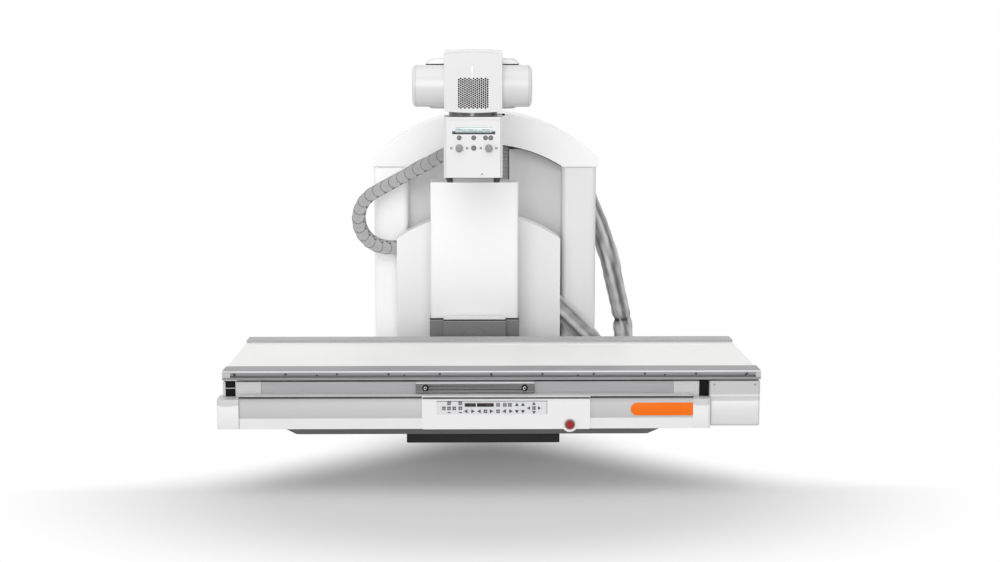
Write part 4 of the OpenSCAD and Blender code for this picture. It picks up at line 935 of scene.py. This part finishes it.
def pan_end(facing, top_out, low_out):
    """A wedge along the pan's sloping end that carries its upper and its lower edge further out."""
    sign = -1 if facing == "left" else 1
    edge = max(sign * pan.x0, sign * pan.x1)
    upper = np.sort(sign * np.array([pan.y0, pan.y1])) + np.array([0.001, -0.001])
    lower = upper + np.array([PAN_IN, -PAN_IN])
    high, low = pan.z1 - 0.0005, pan.z0 + 0.0005
    rows = [[(upper[1], high, edge + a), (upper[0], high, edge + a), (lower[0], low, edge - PAN_IN + b),
             (lower[1], low, edge - PAN_IN + b)] for a, b in ((-0.0015, -0.0015), (top_out, low_out))]
    return closed_grid(np.array(rows), (0, 0, 0), facing)


wedges = [pan_end("left", 0.026, 0.01), pan_end("right", 0.036, 0.009)]
piece("pan_ends", wedges, "dark_grey", "table_frame", "dark_cover")
print("bracket beside the frame at x", round(bracket_x, 3))

# %% [markdown]
# ## Front cover
# The long front cover has two grey fields with a white band below them. A dark line runs along its top
# edge, where the cover is hooked to the frame: partly that joint, partly painted shade under the edge
# above. The same painted shade darkens the top of each field and the control box's top edge. The fields are
# separate plates laid into the cover's own recesses, so that their edge is a real step. The orange strip is
# round at its left end and runs under the right cap. It stays bare: it is the place of a name.
# %% Front cover
cover, control = Box("fascia"), Box("control_box")
on_cover = ("table_frame", "white_cover")
floor_y = cover.y0 + 0.003
field_low, field_top = cover.z1 - 0.0865, cover.z1 - 0.009
fields = ((cover.x0 + 0.001, control.x0 - 0.0005), (control.x1 + 0.0005, cover.x1))
plates = [strip(*field, field_low, field_top, floor_y, 0.0008) for field in fields]
piece("cover_fields", plates, "field_grey_painted_shade", *on_cover)
# The dark strips at the top of each field, along the cover's top edge and on the control box's front top
# are painted shade under the edges above them; along the cover's top they also stand for its joint.
joints = [strip(*field, field_top, field_top + 0.0045, floor_y, 0.0034) for field in fields]
joints += [strip(*field, cover.z1 - 0.0044, cover.z1 - 0.0004, cover.y0, 0.0005) for field in fields]
joints += [control.strip(0.002, -0.002, -0.0044, -0.0006, 0, 0.0003)]
piece("cover_joint", joints, "dark_line", *on_cover)
piece("cover_side_joints", [cover.strip(0.0002, 0.0026, 0.002, -0.004)], "mid_line", *on_cover)
ledge = cover.lid((cover.y0 + beam.y0) / 2 + 0.002, 0.004, beam.y0 - cover.y0 - 0.008, 0.0006, rim=0.0002)
piece("cover_ledge", [ledge], "frame_grey", *on_cover)
orange_x, orange_z = cover.x0 + 1.5186, (cover.z0 + 0.051, cover.z0 + 0.1016)
orange = [strip(orange_x, orange_x + 0.2, *orange_z, floor_y - 0.0008, 0.0014, 0.0253),
          strip(orange_x + 0.1, cover.x1 + 0.0022, *orange_z, floor_y - 0.0008, 0.00135)]
piece("orange_strip", orange, "orange_paint", *on_cover)
CREASE_Z = (0.3505, 0.352)
creases = [strip(x0, x1, *CREASE_Z, caps.y0) for x0, x1 in (
    (caps.x0 + 0.012, ends.x0 - 0.006), (caps.x1 - 0.06, caps.x1 - 0.01))]
piece("cap_creases", creases, "seam_line", *on_cover)
end_x = end_box.x1 - END_WIDTH / 2
plate = slab((end_x, end_box.y0, 0.309), END_WIDTH - 0.012, 0.094, 0.004, 0.01, "front", 0.003)
piece("end_box_face", [plate], "end_box_white", *on_cover)
screws = [stud(end_x + x, end_box.y0, end_box.z1 - 0.0145, 0.0042, 0.0016) for x in (-0.0806, 0.0778)]
piece("end_box_screws", screws, "mid_line", *on_frame)
# A dark strip on the control box's top: painted shade under the table above it.
piece("box_top_shade", [control.lid(control.y0 + 0.006, 0.006, 0.01)], "dark_line", *on_cover)
print("fields between", round(field_low, 4), "and", round(field_top, 4))

# %% [markdown]
# ## Keys and displays
# The key field is a sealed foil. Its keys are already raised on the solid; the print on them is a thin
# layer of ink. A square key carries four small fields and an arrow key a triangle. One function
# returns the outline of a triangle as a grid part, turned to any side. The two displays show a few red
# bars and no figure.
# %% Key field
pad = Box("keypad")


def field(x, z, wide, tall, out=0.0, thick=0.0004, corner=0.0002):
    """A thin rectangle on the foil: its middle, from the foil's lower left corner, and its size."""
    return pad.strip(x - wide / 2, x + wide / 2, z - tall / 2, z + tall / 2, out, thick, corner)


def arrow(x, z, turn, size=0.0073):
    """A flat triangle that points to the right, or turned from there by an angle in degrees."""
    outline = circle(np.radians(turn + np.array([0, 120, 240]))) * size * 1.25
    grid = np.stack([np.concatenate([outline, np.full((3, 1), h)], 1) for h in (0.0, 0.0004)])
    return closed_grid(grid, (pad.x0 + x, pad.y0, pad.z0 + z), "front")


ROW_LOW, ROW_MID, ROW_HIGH, ROW_TOP = 0.012, 0.024, 0.037, 0.044
squares = [(x, ROW_MID) for x in (0.028, 0.048, 0.068, 0.0915, 0.3767)]
squares += [(x, ROW_TOP) for x in (0.048, 0.0915)]
squares += [(x, ROW_HIGH) for x in (0.2375, 0.264, 0.2835)] + [(x, ROW_LOW) for x in (0.189, 0.2375)]
QUARTER = 0.0037  # from the middle of a square key to the middle of each of its four fields
print_parts = [field(x + dx, z + dz, 0.0062, 0.0062)
               for x, z in squares for dx in (-QUARTER, QUARTER) for dz in (-QUARTER, QUARTER)]
print_parts += [field(x, 0.0075, 0.012, 0.004, corner=0.002) for x in (0.048, 0.0915)]
arrows = [(x, ROW_LOW, 180) for x in (0.115, 0.166, 0.2635)]
arrows += [(x, ROW_LOW, 0) for x in (0.1385, 0.21, 0.2855)]
arrows += [(x, z, turn) for x in (0.3105, 0.334) for z, turn in ((ROW_HIGH, 90), (ROW_LOW, 270))]
arrows += [(0.3767 + dx, ROW_MID + dz, turn, 0.0066)
           for dx, dz, turn in ((0.0195, 0, 0), (-0.0195, 0, 180), (0, 0.0165, 90), (0, -0.0155, 270))]
print_parts += [arrow(*some) for some in arrows]
piece("key_print", print_parts, "print_ink", "table_frame", "keypad_foil")
windows = [field(x, ROW_HIGH, wide, 0.0144, 0, 0.0006, 0.001)
           for x, wide in ((0.1305, 0.043), (0.1885, 0.065))]
piece("key_displays", windows, "window_glass", "table_frame", "display_dark")
bars = [field(x, ROW_HIGH + z, 0.0045, 0.0012, 0.0006, 0.0001)
        for x in (0.12925, 0.13725, 0.19525, 0.20425) for z in (-0.0034, 0.0, 0.0034)]
piece("key_digits", bars, "digit_red", "table_frame", "stop_red")
# Dark lines along the foil's top and right edges: painted shade of its recess.
edges = [pad.strip(*places, -0.001, 0.0012)
         for places in ((0, -0.0, -0.0022, -0.0), (-0.0016, -0.0, 0, -0.0))]
piece("key_field_shade", edges, "dark_line", "table_frame", "keypad_foil")
stop = Box("stop_button")
ring = [(0.0215, 0), (0.0215, 0.0008), (0.0205, 0.0014), (0.0175, 0.0014), (0.0165, 0.0002)]
piece("stop_ring", [turned((stop.x, control.y0, stop.z), ring)], "mid_line", *on_frame)
print(len(print_parts), "marks on the keys")

# %% [markdown]
# ## Carriage front
# The carriage of the detector ends at the front in an alloy plate with two turning locks. Each lock has a
# pale arc, which is a painted highlight, and a pointer that turn with it, so they belong to the lock's own
# body. Its dark seat stays with the plate.
# %% Carriage
plate = Box("carriage_plate")
on_plate = ("column_carriage", "housing_alloy")
piece("carriage_top_line", [plate.strip(0, -0.0, -0.0105, -0.0065)], "lip_line", *on_plate)
grooves = [plate.strip(0.004, -0.004, z, z + 0.0012) for z in (0.006, 0.037)]
piece("carriage_grooves", grooves, "mid_line", *on_plate)
for side in ("left", "right"):
    lock = Box("lock_knob_" + side)
    x, z = lock.x, lock.z
    # The pale arc is a painted highlight on the lock.
    ring = ribbon(circle(np.linspace(0.6, 5.2, 24)) * 0.0055, 0.0011, 0.0004, (x, lock.y0, z))
    bar = strip(x + 0.0002, x + 0.005, z - 0.0006, z + 0.0006, lock.y0)
    piece(side + "_lock_glint", [ring, bar], "bright_line", side + "_lock", "knob_dark")
    seat = turned((x, plate.y0, z), [(0.0122, 0), (0.0122, 0.0005), (0.0104, 0.0005), (0.0104, 0)])
    piece(side + "_lock_seat", [seat], "black_plastic", "column_carriage", "knob_dark")
print("locks at height", round(z, 4))

# %% [markdown]
# ## Column, stand and slot
# The column's dark foot has a lighter upper edge, with a dark strip over it that is painted shade under the
# column cover's edge. On the stand, a dark joint separates the hood from the pillars, and a dark band along
# the arch of its lower edge is painted shade where the recess begins. A folded curtain closes the slot over
# the lift arm. It hangs between the hood and the arm.
# %% Column and stand
foot, hood = Box("column_base"), Box("hood")
UPRIGHT_HALF = 0.139  # half the width of the carriage's upright plate
x0, x1 = foot.x - UPRIGHT_HALF, foot.x + UPRIGHT_HALF
foot_spans = ((foot.x0 + 0.001, x0), (x1, foot.x1 - 0.001))
# On the column's foot and on the carriage's upright plate the dark strip above the lighter line is painted
# shade under the column cover's edge.
for name, spans, y, body in (("foot", foot_spans, Box("column_cover").y0, "column"),
                             ("upright", ((x0, x1),), foot.y0, "column_carriage")):
    for kind, finish, low, high in (("_line", "mid_line", 0.0105, 0.008),
                                    ("_joint", "block_grey", 0.0072, 0.0012)):
        seams = [strip(*span, foot.z1 - low, foot.z1 - high, y, 0.00025) for span in spans]
        piece(name + kind, seams, finish, body, "dark_cover")
outer, inner = hood.x1 - 0.024, Box("recess_panels").x1 + 0.015
seam_z, pillar = hood.z0 - 0.0013, Box("right_pillar_cover")
seams = [strip(*span, seam_z - 0.0004, seam_z + 0.001, pillar.y0, 0.0006)
         for span in ((-outer, -inner), (inner, outer))]
piece("hood_joint", seams, "dark_line", "base", "dark_cover")
ARCH_RISE, ARCH_HALF = 0.105, inner - 0.02
arch_r = (ARCH_HALF ** 2 + ARCH_RISE ** 2) / (2 * ARCH_RISE)
sweep = math.asin((ARCH_HALF - 0.004) / arch_r)
arch = circle(np.linspace(math.pi / 2 - sweep, math.pi / 2 + sweep, 60)) * arch_r
arch += (0, hood.z0 + ARCH_RISE - arch_r + 0.0016)
# A dark band along the hood's arched lower edge: painted shade where the recess begins.
piece("hood_lip", [ribbon(arch, 0.0019, 0.0006, (0, hood.y0, 0))], "dark_line", "base", "dark_cover")

# %% Slot curtain
CURTAIN_LOW, CURTAIN_HALF, PLEAT, PLEATS, CLOTH = 0.6205, 0.111, 0.008, 40, 0.0012
rise = np.linspace(CURTAIN_LOW, hood.z0 + ARCH_RISE - 0.002, 2 * PLEATS + 1)
zigzag = 0.03 + PLEAT / 2 * (np.arange(2 * PLEATS + 1) % 2)
curtain = np.stack([np.stack([x + 0 * rise, zigzag + dy, rise], -1) for x, dy in (
    (-CURTAIN_HALF, 0), (CURTAIN_HALF, 0), (CURTAIN_HALF, CLOTH), (-CURTAIN_HALF, CLOTH))], 1)
bellows = piece("slot_curtain", [closed_grid(curtain)], "bellows_cloth", None, "dark_cover")
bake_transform(bellows)
print("curtain with", PLEATS, "pleats,", round(rise[-1] - rise[0], 3), "m high")

# %% [markdown]
# ## Tube head
# The front cover of the head has a seam above the grille, drawn brighter than the cover as a painted
# highlight, and an arched crease near its top. Black strips fill the gaps between the tube's two cylinders
# and the cover behind them as painted shade, and each cylinder ends in a cap with a joint round it. A small
# lever at the collar releases the collimator's turn.
# %% Head
tube, rear = Box("tube_housing"), Box("rear_head_cover")
on_head = ("tube_head", "white_cover")
TUBE_R = 0.084
tube_x, tube_y, tube_z = tube.x, tube.y0 + TUBE_R, tube.z1 - TUBE_R
head_y = head_box.y0
# The seam is brighter than the head's cover: a painted highlight.
seam = slab((tube_x, head_y, 1.629), 0.004, 0.056, 0.0006, 0.002, "front", 0.0005)
piece("head_seam_highlight", [seam], "bright_white", *on_head)
bow = np.linspace(-1, 1, 40)
crease = np.stack([tube_x + bow * 0.104, head_box.z1 - 0.0125 - 0.006 * bow ** 2], -1)
piece("head_crease", [ribbon(crease, 0.0006, 0.0003, (0, head_y, 0))], "seam_line", *on_head)
plate = slab((rear.x, rear.y0 + 0.0035, rear.z), rear.wide - 0.009, rear.tall - 0.009, 0.003,
             0.0415, "front", 0.001)
piece("rear_cover_front", [plate], "bright_white", *on_head)
# Black strips in the gaps over the cylinders: painted shade.
gaps = [strip(x0, x1, tube.z1 - 0.001, tube.z1 + 0.0045, rear.y0 + 0.0005, 0.004, 0.001) for x0, x1 in (
    (rear.x0 + 0.012, head_box.x0 + 0.01), (head_box.x1 - 0.01, rear.x1 - 0.012))]
piece("tube_gap_shade", gaps, "black_plastic", "tube_head", "dark_cover")
PITCH_X, PITCH_Z, GRILLE_Z = 0.0082, 0.0089, 1.548
# Black rings round the grille's holes make them read larger and darker: painted shade.
rim = [(0.0038, 0), (0.0038, 0.00015), (0.0032, 0.00015), (0.0032, 0)]
places = [(head_box.x + (i - 7) * PITCH_X, head_y, GRILLE_Z + (j - (12 + i % 2) / 2) * PITCH_Z)
          for i in range(15) for j in range(13 + i % 2)]
rings = [turned(place, rim, steps=14) for place in places]
piece("grille_hole_shade", rings, "black_plastic", "tube_head", "dark_cover")
hoop = [(TUBE_R + out, way) for out, way in (
    (-0.001, -0.0008), (0.0004, -0.0008), (0.0004, 0.0008), (-0.001, 0.0008))]
for side, x in (("left", tube.x0 + 0.014), ("right", tube.x1 - 0.014)):
    joint = turned((x, tube_y, tube_z), hoop, side, 96)
    piece(side + "_tube_joint", [joint], "seam_line", "tube_head", "white_alloy")
collar = Box("tube_collar")
x, y, z = collar.x1 + 0.0225, collar.y0 + 0.055, collar.z0 + 0.007
lever = [slab((x, y, z), 0.013, 0.0075, 0.012, 0.0036, "front", 0.002),
         slab((x - 0.018, y, z + 0.001), 0.03, 0.003, 0.006, 0.0012)]
piece("release_lever", lever, "black_plastic", "tube_head", "knob_dark")
print(len(rings), "holes in the grille, cylinders of radius", TUBE_R)

# %% [markdown]
# ## Collimator front
# The front of the collimator is a plate with its own edge joint. Its display is lit: a pale blue-green
# glass with rows of small segments, held in a dark frame. The marks beside the knobs are print. Under
# the box, the rails take filters, and a pale bar closes them at the front.
# %% Collimator
colli, show, foot = map(Box, ("collimator_cover", "display_panel", "accessory_rails"))
colli_y, show_y = colli.y0, show.y0
joints = [colli.strip(*some, 0.008, -0.012, 0, 0.0003) for some in ((0.0085, 0.0095), (-0.0095, -0.0085))]
joints += [colli.strip(0.0085, -0.0085, -0.0125, -0.0112, 0, 0.0003)]
piece("front_plate_joint", joints, "seam_line", "collimator", "white_cover")
glass_x, glass_z = (show.x0 + 0.013, show.x1 - 0.012), (show.z0 + 0.0075, show.z1 - 0.001)
glass = strip(*glass_x, *glass_z, show_y, 0.0006, 0.001)
piece("display_glass", [glass], "display_glow", "collimator", "display_dark")
shoulders = [strip(x0, x1, glass_z[0] + 0.0045, show.z1 + 0.0004, show_y, 0.0007)
             for x0, x1 in ((show.x0 - 0.0004, glass_x[0]), (glass_x[1], show.x1 + 0.0004))]
piece("display_shoulders", shoulders, "box_white", "collimator", "white_cover")
seed = np.random.default_rng(4)
marks = []
for row, count in ((0.0031, 22), (0.0098, 14)):
    z = glass_z[0] + row
    for x in glass_x[0] + 0.008 + 0.0045 * np.sort(seed.choice(30, count, replace=False)):
        marks.append(strip(x, x + 0.0024, z, z + 0.0028, show_y - 0.0006, 0.0001))
piece("display_segments", marks, "print_ink", "collimator", "display_dark")
knob_z = Box("field_knob_left").z
BRACKET = ((-0.004, -0.0014, 0.0052), (0.0014, 0.004, 0.0052), (-0.0016, 0.0016, 0.0012))
inked = [strip(x + x0, x + x1, knob_z - half, knob_z + half, colli_y)
         for x in (-0.1455, -0.0818, -0.0278, 0.0347) for x0, x1, half in BRACKET]
inked += [strip(-0.03, -0.0175, 1.2235, 1.2245, colli_y), strip(-0.0245, -0.02, 1.2255, 1.229, colli_y)]
piece("knob_print", inked, "print_ink", "collimator", "display_dark")
collars = []
for name in ("format_key_1", "format_key_2", "format_key_3", "format_key_4", "light_button"):
    key = Box(name)
    r = key.wide / 2
    profile = [(r + 0.0016, 0), (r + 0.0016, 0.0006), (r + 0.0005, 0.0009), (r + 0.0004, 0)]
    collars.append(turned((key.x, colli_y, key.z), profile, steps=32))
piece("key_collars", collars, "dark_line", "collimator", "key_grey")
for side in ("left", "right"):
    knob = Box("field_knob_" + side)
    mark = strip(knob.x - 0.0008, knob.x + 0.0008, knob_z + 0.005, knob_z + 0.0125, knob.y0, 0.0003)
    piece(side + "_knob_mark", [mark], "pale_grey", side + "_field_knob", "key_grey")
bar = slab((foot.x, foot.y0 + 0.012, foot.z + 0.001), foot.wide - 0.056, foot.tall - 0.003,
           0.004, 0.001)
piece("filter_bar", [bar], "mid_line", "collimator", "rail_alloy")
print("display from", round(glass_x[0], 4), "to", round(glass_x[1], 4))

# %% [markdown]
# ## Back and sides
# A machine is seen from all sides. The back cover is held by screws and carries a bare rating plate,
# the pillars have screws along their lower edge, and bolts with washers hold the base plate to the
# floor. These rows of equal parts come from one list of places each.
# %% Back and sides
back, base = Box("back_cover"), Box("base_plate")
rear_y = back.y1
screws = [stud(x, rear_y, z, 0.006, 0.002, "back") for x in (back.x0 + 0.03, 0.0, back.x1 - 0.03)
          for z in (back.z0 + 0.03, 0.62, back.z1 - 0.03)]
piece("back_screws", screws, "machined_steel", "base", "steel")
plate = slab((0.32, rear_y, 1.02), 0.12, 0.07, 0.0008, 0.004, "back", 0.0003)
piece("rating_plate", [plate], "key_foil", "base", "keypad_foil")
joint = slab((0, rear_y, 0.7), back.wide - 0.01, 0.0016, 0.0004, 0.0002, "back", 0.0001)
piece("back_joint", [joint], "dark_line", "base", "dark_cover")
sides = [stud(x, y, z, 0.005, 0.0018, facing)
         for x, facing in ((-pillar.x1, "left"), (pillar.x1, "right"))
         for y in (0.0, 0.38) for z in (0.08, 1.13)]
piece("side_screws", sides, "machined_steel", "base", "steel")
washer = [(0.019, 0), (0.019, 0.0025), (0.0182, 0.003)]
nut = [(0.0135, 0), (0.0135, 0.0085), (0.012, 0.0098)]
bolts = [turned((x, y, base.z1 + z), profile, "top", steps)
         for x in (base.x0 + 0.05, base.x1 - 0.05) for y in (base.y0 + 0.05, base.y1 - 0.05)
         for z, profile, steps in ((0, washer, 32), (0.003, nut, 6))]
piece("floor_bolts", bolts, "machined_steel", "base", "steel")
print(len(screws) + len(sides), "cover screws and", len(bolts) // 2, "floor bolts")

# %% Size and finish
low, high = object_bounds()
{"cad": [list(cad_low), list(cad_high)], "visual": [list(low), list(high)]}
print("grown by", [round(float(a - b), 4) for a, b in zip(high - low, cad_high - cad_low)])
